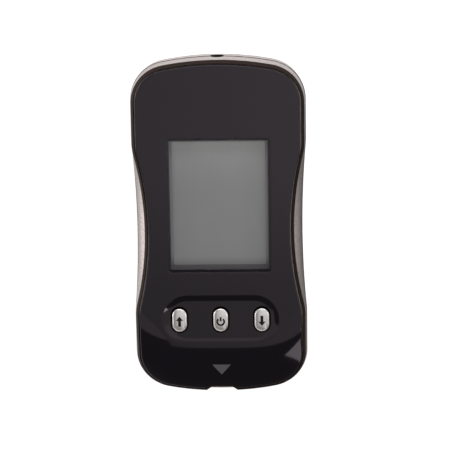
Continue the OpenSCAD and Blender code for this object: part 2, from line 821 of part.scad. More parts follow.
module strip_contacts() {
    // Each leaf runs over the slot and bends down behind the housing to the board
    tail = connector_back + board_fit + contact_t;
    color(GOLD) at_contacts() {
        span([-contact_w / 2, connector_front + connector_wall + CLEAR, contact_z],
            [contact_w / 2, tail, contact_z + contact_t]);
        span([-contact_w / 2, tail - contact_t, board_top], [contact_w / 2, tail, contact_z + EPS]);
    }
}

// ---- Data port ----

module data_jack() {
    half = jack_body / 2;
    color(BLACK) difference() {
        span([-half, jack_front - jack_depth - jack_back, parting_z - half],
            [half, jack_front, parting_z + half]);
        jack_cut(jack_bore_d / 2, jack_front - jack_depth);
    }
}

module jack_contacts() {
    // Solder tabs against both sides of the socket, with feet on the board
    color(GOLD) mirrored_x() for (i = [1, 2])
        translate([jack_body / 2, jack_front - i * jack_depth / 3, board_top]) {
            cube([contact_t, tail_w, jack_tab_h]);
            cube([tail_w, tail_w, contact_t]);
        }
}

// ---- Keys ----

module key(i) {
    h = key_top - key_crown;
    seat = board_top + dome_h + CLEAR;
    flange_z = deck_under - CLEAR - key_flange_t;
    color(METAL) translate([i * key_pitch, key_y, 0]) {
        hull() {
            translate([0, 0, h]) stadium(key_w, key_l, EPS);
            translate([0, 0, key_top - 0.3 * key_crown])
                stadium(key_w - 0.7 * key_crown, key_l - 0.7 * key_crown, EPS);
            translate([0, 0, key_top - EPS])
                stadium(key_w - 3 * key_crown, key_l - 3 * key_crown, EPS);
        }
        translate([0, 0, flange_z]) stadium(key_w, key_l, h - flange_z + EPS);
        translate([0, 0, flange_z])
            stadium(key_w + 2 * key_flange, key_l + 2 * key_flange, key_flange_t);
        post(0, 0, key_stem_d / 2, seat, flange_z + EPS);
    }
}

module key_up() { key(-1); }
module key_power() { key(0); }
module key_down() { key(1); }

// A shallow metal dome, a zone of a sphere over the base circle
module dome(i) {
    r = (pow(dome_d / 2, 2) + pow(dome_h, 2)) / (2 * dome_h);
    a = asin(dome_d / 2 / r);
    steps = 8;
    rim = [for (k = [0:steps]) [r * sin(a * k / steps), r * cos(a * k / steps) - r + dome_h]];
    color(METAL) translate([i * key_pitch, key_y, board_top]) rotate_extrude($fn = FINE)
        polygon(concat(rim, [for (k = [steps:-1:0]) [rim[k][0], max(0, rim[k][1] - dome_t)]]));
}

module dome_up() { dome(-1); }
module dome_power() { dome(0); }
module dome_down() { dome(1); }

// ---- Cells, contacts and screws ----

module coin_cell(s) {
    // Can with a smaller cap, and the insulating ring between them
    color(METAL) translate([s * cell_pitch / 2, cell_y, well_z]) {
        cylinder(r = cell_d / 2, h = cell_t - cell_cap_t, $fn = FINE);
        cylinder(r = cell_d / 2 - 4 * cell_cap_t, h = cell_t, $fn = FINE);
    }
}

module coin_cell_left() { coin_cell(-1); }
module coin_cell_right() { coin_cell(1); }

module cell_contact_plus() {
    // Side springs in pockets of the tub, each with a pad on the can and a tail to the board
    back = cell_reach + contact_t;
    color(GOLD) at_cells() {
        span([-cell_contact_w / 2, cell_reach, well_z + contact_t], [cell_contact_w / 2, back, well_top]);
        span([-tail_w / 2, cell_d / 2 + CLEAR, well_z + cell_t / 2 - tail_w / 2],
            [tail_w / 2, back, well_z + cell_t / 2 + tail_w / 2]);
        span([-tail_w / 2, cell_reach, well_top - EPS], [tail_w / 2, back, board_top + contact_t]);
    }
}

module cell_contact_minus() {
    // Discs under the roof of the tub, each with a pin to the board
    color(GOLD) at_cells() {
        post(0, 0, cell_contact_w / 2, well_top - contact_t, well_top);
        post(0, 0, tail_w / 2, well_top - EPS, board_top + contact_t);
    }
}

module screw(head_d, head_h, l) {
    // Pan head below z = 0, shank above, with a cross recess
    difference() {
        translate([0, 0, -head_h]) cylinder(r = head_d / 2, h = head_h, $fn = FINE);
        for (a = [0, 90]) rotate([0, 0, a])
            translate([-head_d / 3, -head_d / 14, -head_h - EPS])
                cube([head_d / 1.5, head_d / 7, head_h / 2]);
    }
    cylinder(r = screw_d / 2, h = l, $fn = FINE);
}

module case_screws() {
    color(METAL) at_case_screws() translate([0, 0, head_seat])
        screw(screw_head_d, screw_head_h, screw_l);
}

module board_screws() {
    color(METAL) at_board_screws() translate([0, 0, board_z])
        screw(board_head_d, board_head_h, board_screw_l);
}

faceplate();
front_bezel();
face_tape();
front_case();
rear_case();
battery_door();
display_lens();
lcd_panel();
lcd_frame();
zebra_strip();
circuit_board();
microcontroller();
memory_chip();
signal_amplifier();
board_passives();
timing_crystal();
temperature_sensor();
sounder();
strip_connector();
strip_contacts();
data_jack();
jack_contacts();
key_up();
key_power();
key_down();
dome_up();
dome_power();
dome_down();
coin_cell_left();
coin_cell_right();
cell_contact_plus();
cell_contact_minus();
case_screws();
board_screws();
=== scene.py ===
"""Looks of a handheld blood glucose meter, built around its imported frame.

The origin is the middle of the flat back, +Z leaves the glossy face, +X is the width and +Y points
to the data port end. Shapes are worked out in millimetres and stored in metres.
"""

import math

import bmesh
import bpy
import numpy as np
from mathutils import Matrix, Vector


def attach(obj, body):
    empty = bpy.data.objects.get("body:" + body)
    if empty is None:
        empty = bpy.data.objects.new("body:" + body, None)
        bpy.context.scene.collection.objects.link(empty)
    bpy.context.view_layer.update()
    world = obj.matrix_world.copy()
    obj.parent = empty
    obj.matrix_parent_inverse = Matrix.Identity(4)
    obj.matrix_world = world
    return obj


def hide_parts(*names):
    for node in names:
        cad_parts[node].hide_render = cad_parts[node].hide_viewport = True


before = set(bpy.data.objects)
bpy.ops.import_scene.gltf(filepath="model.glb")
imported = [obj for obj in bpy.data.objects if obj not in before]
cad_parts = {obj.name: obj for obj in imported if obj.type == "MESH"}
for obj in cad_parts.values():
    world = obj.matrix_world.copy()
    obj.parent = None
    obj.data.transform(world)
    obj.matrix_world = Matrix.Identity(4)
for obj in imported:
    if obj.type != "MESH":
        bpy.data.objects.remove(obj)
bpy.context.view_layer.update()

# ---- Camera ----
# A product camera on a stand, which looks down on the face from a long way off and leans towards
# the data port end. Its lens is worked out from the pixels that a millimetre takes.

MM = 0.001
VIEW_TILT = math.radians(14.5)
VIEW_TURN = math.radians(1.6)
VIEW_ROLL = math.radians(0.9)
VIEW_DISTANCE = 0.6
PIXELS_PER_MM = 3.735
IMAGE_PIXELS = 458
SENSOR_MM = 36
AIM = Vector((0, 0, 0.015))
AIM_RIGHT = 0.002624
AIM_UP = 0.00068

away = Vector((math.sin(VIEW_TURN), math.sin(VIEW_TILT) * math.cos(VIEW_TURN),
               math.cos(VIEW_TILT) * math.cos(VIEW_TURN)))
level_right = Vector((0, 1, 0)).cross(away).normalized()
level_up = away.cross(level_right)
cam_right = level_right * math.cos(VIEW_ROLL) - level_up * math.sin(VIEW_ROLL)
cam_up = level_right * math.sin(VIEW_ROLL) + level_up * math.cos(VIEW_ROLL)

camera = bpy.data.objects.new("camera", bpy.data.cameras.new("camera"))
camera.data.lens = SENSOR_MM * VIEW_DISTANCE / MM * PIXELS_PER_MM / IMAGE_PIXELS
camera.data.sensor_width = SENSOR_MM
camera.data.clip_start = 0.01
camera.matrix_world = Matrix.Translation(
    AIM + away * VIEW_DISTANCE + cam_right * AIM_RIGHT + cam_up * AIM_UP
) @ Matrix((cam_right, cam_up, away)).transposed().to_4x4()
bpy.context.collection.objects.link(camera)
bpy.context.scene.camera = camera
bpy.context.scene.view_settings.view_transform = "Standard"

# ---- Floor, sky and lamps ----
# A white paper sweep under a broad overhead softbox, with smaller boxes round it. The sky is pale near
# the horizon and dark higher up, as the black curtain of a product studio is, and its lower half
# stands in for the light that the paper sends back.

FLOOR_SIZE = 6.0
FLOOR_DROP = 0.00001
CAMERA_GLOW = 0.7
MIRROR_GLOW = 1.2
RIGHT_GLOW = 0.27
FLANK_X = 0.022
PORT_GLOW_Y = -0.03
WAIST_SHADE = 0.018


def linear(code):
    """An sRGB hex colour as linear red, green, blue and alpha."""
    values = [int(code[i:i + 2], 16) / 255 for i in (1, 3, 5)]
    return tuple(v / 12.92 if v <= 0.04045 else ((v + 0.055) / 1.055) ** 2.4 for v in values) + (1,)


def add(tree, kind, inputs=None, **settings):
    """Adds one node: settings are its properties, and inputs are its sockets' values or links."""
    made = tree.nodes.new("ShaderNode" + kind)
    for key, value in settings.items():
        setattr(made, key, value)
    for key, value in (inputs or {}).items():
        if isinstance(value, bpy.types.NodeSocket):
            tree.links.new(value, made.inputs[key])
        else:
            made.inputs[key].default_value = value
    return made


def new_material(name):
    """An empty material, and its node tree."""
    made = bpy.data.materials.new(name)
    made.use_nodes = True
    made.node_tree.nodes.clear()
    return made, made.node_tree


# Matt white paper, which gives a plain pale ground with no highlight
sweep_paper, tree = new_material("white_paper_sweep")
path = add(tree, "LightPath")
seen = add(tree, "Math", {0: path.outputs["Is Camera Ray"], 1: path.outputs["Is Transmission Ray"]},
           operation="MAXIMUM")
# In mirrors only, the paper glows with painted light: white on the left and beyond the port end,
# and grey on the right. Painted shade darkens it towards the object, most of all beside the waist
where = add(tree, "TexCoord").outputs["Object"]
spot = add(tree, "SeparateXYZ", {0: where})
to_left = add(tree, "Math", {0: -FLANK_X, 1: spot.outputs["X"]}, operation="SUBTRACT")
to_port = add(tree, "Math", {0: spot.outputs["Y"], 1: PORT_GLOW_Y}, operation="ADD")
along = add(tree, "Math", {0: spot.outputs["Y"]}, operation="ABSOLUTE")
waist = add(tree, "MapRange", {"Value": along.outputs[0], "From Min": 0.012, "From Max": 0.027,
                               "To Min": WAIST_SHADE, "To Max": 0.0})
past_left = add(tree, "Math", {0: to_left.outputs[0], 1: waist.outputs[0]}, operation="SUBTRACT")
past_right = add(tree, "Math", {0: spot.outputs["X"], 1: waist.outputs[0]}, operation="SUBTRACT")
beside = add(tree, "MapRange", {"Value": past_left.outputs[0], "From Min": -0.03, "From Max": 0.03,
                                "To Min": 0.0, "To Max": MIRROR_GLOW})
beyond = add(tree, "MapRange", {"Value": to_port.outputs[0], "From Min": -0.008, "From Max": 0.035,
                                "To Min": 0.0, "To Max": MIRROR_GLOW})
dim = add(tree, "MapRange", {"Value": past_right.outputs[0], "From Min": 0.004, "From Max": 0.06,
                             "To Min": 0.0, "To Max": MIRROR_GLOW * RIGHT_GLOW})
sides = add(tree, "Math", {0: beside.outputs[0], 1: dim.outputs[0]}, operation="MAXIMUM")
lit = add(tree, "Math", {0: sides.outputs[0], 1: beyond.outputs[0]}, operation="MAXIMUM")
painted_mirror_light = add(tree, "Math", {0: path.outputs["Is Glossy Ray"], 1: lit.outputs[0]}, operation="MULTIPLY")
# Far off, where the lamps no longer reach, the paper shines white by itself
far = add(tree, "VectorMath", {0: where}, operation="LENGTH")
white = add(tree, "MapRange", {"Value": far.outputs["Value"], "From Min": 0.4, "From Max": 1.2,
                               "To Min": CAMERA_GLOW, "To Max": 1.0})
glow = add(tree, "Math", {0: seen.outputs[0], 1: white.outputs[0], 2: painted_mirror_light.outputs[0]},
           operation="MULTIPLY_ADD")
# In mirrors the paper turns a darker grey: painted shade on the floor as the object mirrors it
grey = add(tree, "MixRGB", {"Fac": path.outputs["Is Glossy Ray"], "Color1": linear("#d8d8d8"),
                            "Color2": linear("#4e4e4e")})
paper = add(tree, "BsdfDiffuse", {"Color": grey.outputs[0]})
shine = add(tree, "Emission", {"Color": linear("#ffffff"), "Strength": glow.outputs[0]})
both = add(tree, "AddShader", {0: paper.outputs[0], 1: shine.outputs[0]})
side = add(tree, "NewGeometry")
clear = add(tree, "BsdfTransparent")
shown = add(tree, "MixShader",
            {0: side.outputs["Backfacing"], 1: both.outputs[0], 2: clear.outputs[0]})
add(tree, "OutputMaterial", {"Surface": shown.outputs[0]})

floor_mesh = bpy.data.meshes.new("floor")
half = FLOOR_SIZE / 2
corners = [(x * half, y * half, -FLOOR_DROP) for x, y in ((-1, -1), (1, -1), (1, 1), (-1, 1))]
floor_mesh.from_pydata(corners, [], [(0, 1, 2, 3)])
floor_mesh.materials.append(sweep_paper)
floor = bpy.data.objects.new("floor", floor_mesh)
bpy.context.collection.objects.link(floor)
floor.visible_diffuse = False
floor.visible_shadow = False

world = bpy.data.worlds.new("studio")
bpy.context.scene.world = world
world.use_nodes = True
tree = world.node_tree
tree.nodes.clear()
path = add(tree, "LightPath")
where = add(tree, "TexCoord")
split = add(tree, "SeparateXYZ", {0: where.outputs["Generated"]})
# Bright a little above the horizon, most of all on the left, and dark higher up. Right at the
# horizon it is dimmer, so that the glossy face stays grey where it is seen from the side
horizon = add(tree, "MapRange", {"Value": split.outputs["X"], "From Min": -0.9, "From Max": 0.9,
                                 "To Min": 1.5, "To Max": 0.3}, interpolation_type="SMOOTHSTEP")
curtain = add(tree, "MapRange", {"Value": split.outputs["Z"], "From Min": 0.02, "From Max": 0.7,
                                 "To Min": horizon.outputs[0], "To Max": 0.05},
              interpolation_type="SMOOTHSTEP")
skirt = add(tree, "MapRange", {"Value": split.outputs["Z"], "From Min": 0.04, "From Max": 0.1,
                               "To Min": 0.35, "To Max": 1.0}, interpolation_type="SMOOTHSTEP")
low_sky = add(tree, "Math", {0: curtain.outputs[0], 1: skirt.outputs[0]}, operation="MULTIPLY")
studio = add(tree, "Background", {"Color": linear("#ffffff"), "Strength": low_sky.outputs[0]})
backdrop = add(tree, "Background", {"Color": linear("#ffffff"), "Strength": 1.0})
mixed = add(tree, "MixShader", {0: path.outputs["Is Camera Ray"], 1: studio.outputs[0],
                                2: backdrop.outputs[0]})
add(tree, "OutputWorld", {"Surface": mixed.outputs[0]})


def softbox(name, centre, aim, size, radiance, spin=0.0, tint="#ffffff"):
    """A rectangular lamp that faces aim, turned by spin in its own plane. Its power is its radiance
    times pi times its area."""
    lamp = bpy.data.lights.new(name, "AREA")
    lamp.shape = "RECTANGLE"
    lamp.size, lamp.size_y = size
    lamp.energy = radiance * math.pi * size[0] * size[1]
    lamp.color = linear(tint)[:3]
    made = bpy.data.objects.new(name, lamp)
    bpy.context.collection.objects.link(made)
    turn = (Vector(centre) - Vector(aim)).to_track_quat("Z", "Y").to_matrix()
    turn = turn @ Matrix.Rotation(math.radians(spin), 3, "Z")
    made.matrix_world = Matrix.Translation(centre) @ turn.to_4x4()
    return made


def ceiling_box(name, low, high, height, radiance):
    """A level softbox between two corners, given as shares of its height above the meter."""
    (x0, y0), (x1, y1) = low, high
    middle = Vector((x0 + x1, y0 + y1, 2)) * height / 2
    return softbox(name, middle, middle - Vector((0, 0, 1)), ((x1 - x0) * height, (y1 - y0) * height),
                   radiance)


# The two ceiling boxes end at a stepped edge, which the chin mirrors. The chin also mirrors the front
# card, and the left end of the dish the small one
BOX_HEIGHT = 0.9
BOX_STEP = -0.125
CARD_HEIGHT = 0.6
main_box = ceiling_box("ceiling_box", (BOX_STEP, -0.62), (1.6, 0.75), BOX_HEIGHT, 0.62)
ceiling_box("ceiling_box_left", (-0.38, -0.555), (BOX_STEP, 0.75), BOX_HEIGHT, 0.5)
softbox("front_card", (0.28, -0.587, CARD_HEIGHT), (0.28, -0.587, 0), (0.1, 0.36), 2.1, 47)
softbox("small_card", (0.217, -0.345, CARD_HEIGHT), (0.217, -0.345, 0), (0.034, 0.07), 5.5, -46)
# Boxes at the sides and at the port end light the flanks, and a warm strip lights the strip end
softbox("left_box", (-1.3, 0.1, 0.45), (0, 0, 0), (0.9, 0.55), 3.2)
softbox("port_end_box", (0.1, 1.0, 0.62), (0, 0, 0), (1.5, 0.6), 3.0)
softbox("right_box", (1.15, 0.0, 0.66), (0, 0, 0), (0.9, 0.36), 2.6)
softbox("front_strip", (0.0, -1.4, 0.3), (0, 0, 0), (1.6, 0.26), 1.2, tint="#ffe0ba")

# The main box fades towards its left end and towards its front
main_box.data.use_nodes = True
tree = main_box.data.node_tree
tree.nodes.clear()
spot = add(tree, "SeparateXYZ", {0: add(tree, "NewGeometry").outputs["Parametric"]})
across = add(tree, "MapRange", {"Value": spot.outputs["X"], "From Min": 1.0, "From Max": 0.893,
                                "To Min": 0.84, "To Max": 1.18})
along = add(tree, "MapRange", {"Value": spot.outputs["Y"], "From Min": 0.77, "From Max": 0.7,
                               "To Min": 0.64, "To Max": 1.06})
fade = add(tree, "Math", {0: across.outputs[0], 1: along.outputs[0]}, operation="MULTIPLY")
glow = add(tree, "Emission", {"Strength": fade.outputs[0]})
add(tree, "OutputLight", {"Surface": glow.outputs[0]})

# ---- Rear shell ----
# Moulded in silver-grey ABS and sprayed with fine metallic paint. Its rounded back carries the
# bay of the battery door, a shallow recess for a label and two wells for the case screws.

# Half width, dip of the waist, strip end, port end and corner radius
BODY_SHAPE = (23.45, 1.1, -46.7, 46.7, 10.6)
STRIP_BOW_R = 77.0
PORT_BOW_R = 77.0
LOBE_Y = 24.2
LOBE_R = 17.0
PARTING_Z = 8.9
SEAM = 0.1
SEAM_BEVEL = 0.08
BACK_R = 4.5
REAR_IN = 0.4
WALL = 1.5
SKIN = 1.4
DOOR_W = 36.6
DOOR_Y = 9.6
DOOR_T = 1.25
DOOR_GAP = 0.12
TONGUE_W = 0.6
TONGUE_Z = (0.45, 0.8)
CELL_AT = (10.4, 22.0)
CELL_REACH = 10.2
CELL_FLOOR = 1.37
WELL_TOP = 4.82
TUB_TOP = 5.47
TUB_END = 1.7
BAY_TOP = 2.77
STRIP_BLOCK = 5.3
# Width, length and corner radius, as for the window and the dish
LABEL = (27.0, 28.0, 2.0)
LABEL_Y = -15.7
RECESS = 0.25
STRIP_SCREW = (15.0, -35.2)
BAY_SCREW = (13.5, 38.0)
HEAD_SEAT = 3.2
HEAD_R = 1.95
JACK_HOLE_R = 1.8
JACK_FRONT = 44.8
NOTCH_HALF = 2.85
NOTCH_MOUTH = 5.3
NOTCH_DEEP = -44.85
# Half width, bottom and top
SLOT = (3.7, 7.15, 8.25)
SLOT_BACK = -43.25
REACH = 60.0
BOW_STEPS, CORNER_STEPS, STRAIGHT_STEPS, LOBE_STEPS, WAIST_STEPS = 40, 28, 16, 8, 44
ROUND_STEPS, SIDE_STEPS = 13, 12
WELD = 2e-7
CREASE = math.radians(30)


def arc(centre, radius, start, stop, steps):
    """Points at even turns along a circle, between two angles in degrees."""
    turn = np.radians(np.linspace(start, stop, steps))
    return np.stack([centre[0] + radius * np.cos(turn), centre[1] + radius * np.sin(turn)], 1)


def plan(shape, inset=0.0):
    """The outline seen from above, drawn in by inset. Each half is a chain of tangent arcs: bowed
    strip end, corner, lobe, waist, lobe, corner and bowed port end."""
    half, dip, y_strip, y_port, corner = shape
    reach = (dip**2 + LOBE_Y**2) / (2 * dip)
    turn = math.degrees(math.asin(LOBE_Y / reach))
    run = half - corner
    y0 = y_strip + STRIP_BOW_R - math.sqrt((STRIP_BOW_R - corner)**2 - run**2)
    y1 = y_port - PORT_BOW_R + math.sqrt((PORT_BOW_R - corner)**2 - run**2)
    a0 = math.degrees(math.atan2(y0 - y_strip - STRIP_BOW_R, run))
    a1 = math.degrees(math.atan2(y1 - y_port + PORT_BOW_R, run))
    straight = [np.linspace((half - inset, start), (half - inset, stop), STRAIGHT_STEPS)[1:-1]
                for start, stop in ((y0, -LOBE_Y), (LOBE_Y, y1))]
    right = np.concatenate([
        arc((0, y_strip + STRIP_BOW_R), STRIP_BOW_R - inset, -90, a0, BOW_STEPS),
        arc((run, y0), corner - inset, a0, 0, CORNER_STEPS)[1:], straight[0],
        arc((half - LOBE_R, -LOBE_Y), LOBE_R - inset, 0, turn, LOBE_STEPS),
        arc((half - dip + reach - LOBE_R, 0), reach - LOBE_R + inset, 180 + turn, 180 - turn,
            WAIST_STEPS)[1:],
        arc((half - LOBE_R, LOBE_Y), LOBE_R - inset, -turn, 0, LOBE_STEPS)[1:], straight[1],
        arc((run, y1), corner - inset, 0, a1, CORNER_STEPS),
        arc((0, y_port - PORT_BOW_R), PORT_BOW_R - inset, a1, 90, BOW_STEPS)[1:]])
    return np.concatenate([right, right[-2:0:-1] * (-1, 1)])


def rounded(width, length, radius, inset=0.0, at=(0, 0)):
    """A rounded rectangle drawn in by inset: four corner arcs with points along the straights."""
    hx, hy = width / 2 - radius, length / 2 - radius
    corners = [arc((sx * hx, sy * hy), radius - inset, 90 * k - 90, 90 * k, ROUND_STEPS)
               for k, (sx, sy) in enumerate([(1, -1), (1, 1), (-1, 1), (-1, -1)])]
    parts = []
    for k, corner in enumerate(corners):
        follow = corners[(k + 1) % 4][0]
        parts += [corner, np.linspace(corner[-1], follow, SIDE_STEPS)[1:-1]]
    return np.concatenate(parts) + at


def at_height(loop, z):
    """A flat loop lifted to z, which is one height or one for each point."""
    return np.column_stack([loop, np.broadcast_to(z, len(loop))])


def skin(name, rows, ring=False):
    """A closed skin through a stack of loops that turn anticlockwise from above, lowest first. Quads
    join neighbours. A fan closes each end, or the last loop joins the first in a ring."""
    rows = np.asarray(rows, float)
    m, n = rows.shape[:2]
    here = np.arange(n)
    there = np.roll(here, -1)
    low = np.arange(m if ring else m - 1)[:, None] * n
    high = (low + n) % (m * n)
    faces = np.stack([low + here, low + there, high + there, high + here], -1).reshape(-1, 4).tolist()
    points = rows.reshape(-1, 3)
    if not ring:
        points = np.concatenate([points, rows[[0, -1]].mean(1)])
        last = (m - 1) * n
        faces += np.stack([np.full(n, m * n), there, here], 1).tolist()
        faces += np.stack([np.full(n, m * n + 1), last + here, last + there], 1).tolist()
    mesh = bpy.data.meshes.new(name)
    mesh.from_pydata((points * MM).tolist(), [], faces)
    merge_doubles(mesh)
    made = bpy.data.objects.new(name, mesh)
    bpy.context.collection.objects.link(made)
    return made


def merge_doubles(mesh):
    """Welds points that coincide and drops the empty faces between them."""
    edit = bmesh.new()
    edit.from_mesh(mesh)
    bmesh.ops.remove_doubles(edit, verts=edit.verts, dist=WELD)
    bmesh.ops.dissolve_degenerate(edit, edges=edit.edges, dist=WELD)
    edit.to_mesh(mesh)
    edit.free()


def block(low, high):
    """A cutting block between two corners."""
    (x0, y0, z0), (x1, y1, z1) = low, high
    loop = np.array([(x0, y0), (x1, y0), (x1, y1), (x0, y1)], float)
    return skin("block", [at_height(loop, z0), at_height(loop, z1)])


def post(at, radius, z0, z1):
    """A round cutting post."""
    loop = rounded(2 * radius, 2 * radius, radius, at=at)
    return skin("post", [at_height(loop, z0), at_height(loop, z1)])


def cut(piece, tools, operation="DIFFERENCE"):
    """Takes the tools, which are closed skins, out of the piece, or joins them to it."""
    for tool in tools:
        step = piece.modifiers.new("cut", "BOOLEAN")
        step.operation = operation
        step.solver = "MANIFOLD"
        step.object = tool
    graph = bpy.context.evaluated_depsgraph_get()
    mesh = bpy.data.meshes.new_from_object(piece.evaluated_get(graph))
    piece.modifiers.clear()
    piece.data = mesh
    merge_doubles(mesh)
    for tool in tools:
        bpy.data.objects.remove(tool)


def place(piece, material, body, replaced=()):
    """Smooths a piece but keeps its hard edges, finishes it and ties it to the frame."""
    piece.data.materials.clear()
    piece.data.materials.append(material)
    piece.data.shade_smooth()
    piece.data.set_sharp_from_angle(angle=CREASE)
    even = piece.modifiers.new("even shading", "WEIGHTED_NORMAL")
    even.keep_sharp = True
    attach(piece, body)
    if replaced:
        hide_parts(*replaced)


def rear_rows(inset, floor, top):
    """Loops of the rear shell: a quarter circle from the back, then half a cosine wave that swells
    to the seam."""
    turn = np.radians(np.linspace(0, 90, 15))
    lean = np.linspace(0, 1, 10)[1:]
    insets = np.concatenate([REAR_IN + inset + (BACK_R - inset) * (1 - np.sin(turn)),
                             inset + REAR_IN * (1 + np.cos(math.pi * lean)) / 2, [inset + SEAM_BEVEL]])
    heights = np.concatenate([floor + (BACK_R - floor) * (1 - np.cos(turn)),
                              BACK_R + lean * (top - SEAM_BEVEL - BACK_R), [top]])
    return [at_height(plan(BODY_SHAPE, d), z) for d, z in zip(insets, heights)]


def both_sides(x, y):
    """A place and its mirror image across the middle."""
    return [(x, y), (-x, y)]


def notch_tool(z0, more=0.0):
    """The notch at the strip end as a cutting block from z0 up: a trapezoid that opens outwards,
    with each of its walls set back by more."""
    slope = (NOTCH_MOUTH - NOTCH_HALF) / (NOTCH_DEEP - BODY_SHAPE[2])
    deep, narrow = NOTCH_DEEP + more, NOTCH_HALF + more * (math.hypot(1, slope) - slope)
    loop = np.array([(-narrow - slope * 5, deep - 5), (narrow + slope * 5, deep - 5), (narrow, deep),
                     (-narrow, deep)])
    return skin("notch", [at_height(loop, z0), at_height(loop, REACH)])


def slot_tool():
    """A cutting block as wide and as high as the slot for the test strip."""
    return block((-SLOT[0], -REACH, SLOT[1]), (SLOT[0], SLOT_BACK, SLOT[2]))


def jack_tool():
    """A round cutting bar along Y at the seam."""
    loop = rounded(2 * JACK_HOLE_R, 2 * JACK_HOLE_R, JACK_HOLE_R)
    rows = [np.column_stack([loop[:, 0], np.full(len(loop), y), PARTING_Z + loop[:, 1]])
            for y in (REACH, JACK_FRONT)]
    return skin("bar", rows)


# Silver paint: aluminium flakes of about 0.05 mm in a clear satin binder over textured ABS. They
# give a soft metal sheen that sparkles a little. The flakes are drawn at 0.12 mm so that they show,
# the moulded texture under them at 0.35 mm, and the paint's thickness varies over about 14 mm
FLAKE_MM = 0.12
TEXTURE_MM = 0.35
CLOUD_MM = 14
silver_paint, tree = new_material("silver_metallic_paint_on_abs")
where = add(tree, "TexCoord").outputs["Object"]
flakes = add(tree, "TexVoronoi", {"Vector": where, "Scale": 1000 / FLAKE_MM})
texture = add(tree, "TexNoise", {"Vector": where, "Scale": 1000 / TEXTURE_MM, "Detail": 2.0})
cloud = add(tree, "TexNoise", {"Vector": where, "Scale": 1000 / CLOUD_MM, "Detail": 2.0})
grain = add(tree, "SeparateColor", {0: flakes.outputs["Color"]})
tone = add(tree, "MixRGB", {"Fac": grain.outputs[0], "Color1": linear("#bcb1ae"),
                            "Color2": linear("#e4dad7")})
pits = add(tree, "MapRange", {"Value": texture.outputs[0], "From Min": 0.36, "From Max": 0.5,
                              "To Min": 0.55, "To Max": 0.0})
pitted = add(tree, "MixRGB", {"Fac": pits.outputs[0], "Color1": tone.outputs[0],
                              "Color2": linear("#6d6462")})
half_cloud = add(tree, "Math", {0: cloud.outputs[0], 1: 0.5}, operation="MULTIPLY")
shaded = add(tree, "MixRGB", {"Fac": half_cloud.outputs[0], "Color1": pitted.outputs[0],
                              "Color2": linear("#c6bbb8")})
gloss = add(tree, "MapRange", {"Value": grain.outputs[1], "To Min": 0.3, "To Max": 0.48})
bumps = add(tree, "Bump", {"Height": texture.outputs[0], "Strength": 0.35, "Distance": 0.00003})
paint = add(tree, "BsdfPrincipled", {
    "Base Color": shaded.outputs[0], "Metallic": 0.85, "Roughness": gloss.outputs[0],
    "Normal": bumps.outputs[0], "Coat Weight": 0.12, "Coat Roughness": 0.25})
add(tree, "OutputMaterial", {"Surface": paint.outputs[0]})

# Black ABS, as rough as it leaves the mould. It is also painted shade: put on faces in gaps and
# hollows, it stands for the shadow there
bare_abs_as_shade, tree = new_material("black_abs_painted_shade")
where = add(tree, "TexCoord").outputs["Object"]
grain = add(tree, "TexNoise", {"Vector": where, "Scale": 1000 / TEXTURE_MM})
tone = add(tree, "MixRGB", {"Fac": grain.outputs[0], "Color1": linear("#060606"),
                            "Color2": linear("#0e0e0e")})
dark = add(tree, "BsdfPrincipled", {"Base Color": tone.outputs[0], "Roughness": 0.7,
                                    "Specular IOR Level": 0.2})
add(tree, "OutputMaterial", {"Surface": dark.outputs[0]})


def blacken_as_shade(piece, chosen):
    """Leaves bare black plastic, as painted shade, on the faces that chosen picks by the x, y and z of
    their middles, in millimetres, and the z of their normals."""
    faces = piece.data.polygons
    middles, normals = np.empty((2, len(faces) * 3))
    faces.foreach_get("center", middles)
    faces.foreach_get("normal", normals)
    picked = chosen(*(middles.reshape(-1, 3) / MM).T, normals.reshape(-1, 3)[:, 2])
    piece.data.materials.append(bare_abs_as_shade)
    faces.foreach_set("material_index", picked.astype(np.int32))


def shaded_seam_or_mouth(x, y, z, upward):
    """The paint is masked off the parting faces and the inside of the socket's mouth, and their black
    is painted shade in the seam and the mouth.
    """
    mouth = (y > JACK_FRONT - 0.5) & (np.hypot(x, z - PARTING_Z) < JACK_HOLE_R + 0.01)
    return mouth | ((np.abs(z - PARTING_Z) < SEAM) & (np.abs(upward) > 0.9))


rear = skin("rear_shell", rear_rows(0, 0, PARTING_Z - SEAM / 2))
hollow = skin("hollow", rear_rows(WALL, SKIN, PARTING_Z + 1))
half_door = DOOR_W / 2 + DOOR_GAP
tub = [block((-REACH, CELL_AT[1] - CELL_REACH - WALL, 0),
             (REACH, CELL_AT[1] + CELL_REACH + TUB_END, TUB_TOP)),
       block((-REACH, DOOR_Y - DOOR_GAP - WALL, -1), (REACH, REACH, BAY_TOP)),
       block((-STRIP_BLOCK, -REACH, -1), (STRIP_BLOCK, SLOT_BACK, REACH))]
cut(hollow, tub)
cells = [post(at, CELL_REACH, CELL_FLOOR, WELL_TOP) for at in both_sides(*CELL_AT)]
wells = [post(at, HEAD_R, -1, HEAD_SEAT) for s in (STRIP_SCREW, BAY_SCREW) for at in both_sides(*s)]
label = skin("label", [at_height(rounded(*LABEL, at=(0, LABEL_Y)), z) for z in (-1, RECESS)])
bay = [block((-half_door, DOOR_Y - DOOR_GAP, -1), (half_door, REACH, DOOR_T + DOOR_GAP)),
       block((-half_door - TONGUE_W, DOOR_Y - DOOR_GAP, TONGUE_Z[0] - DOOR_GAP),
             (half_door + TONGUE_W, REACH, TONGUE_Z[1] + DOOR_GAP))]
cut(rear, [hollow, *bay, *cells, *wells, label, jack_tool(), notch_tool(SLOT[1]), slot_tool()])
place(rear, silver_paint, "meter", ["rear_case"])
# The seam faces and the socket's mouth are black: bare plastic, and painted shade
blacken_as_shade(rear, shaded_seam_or_mouth)

# ---- Battery door ----
# A flat moulded door, painted with the shell, that slides off towards the data port end. It has
# thumb grooves, an arrow that shows the way, and a tongue along each side.

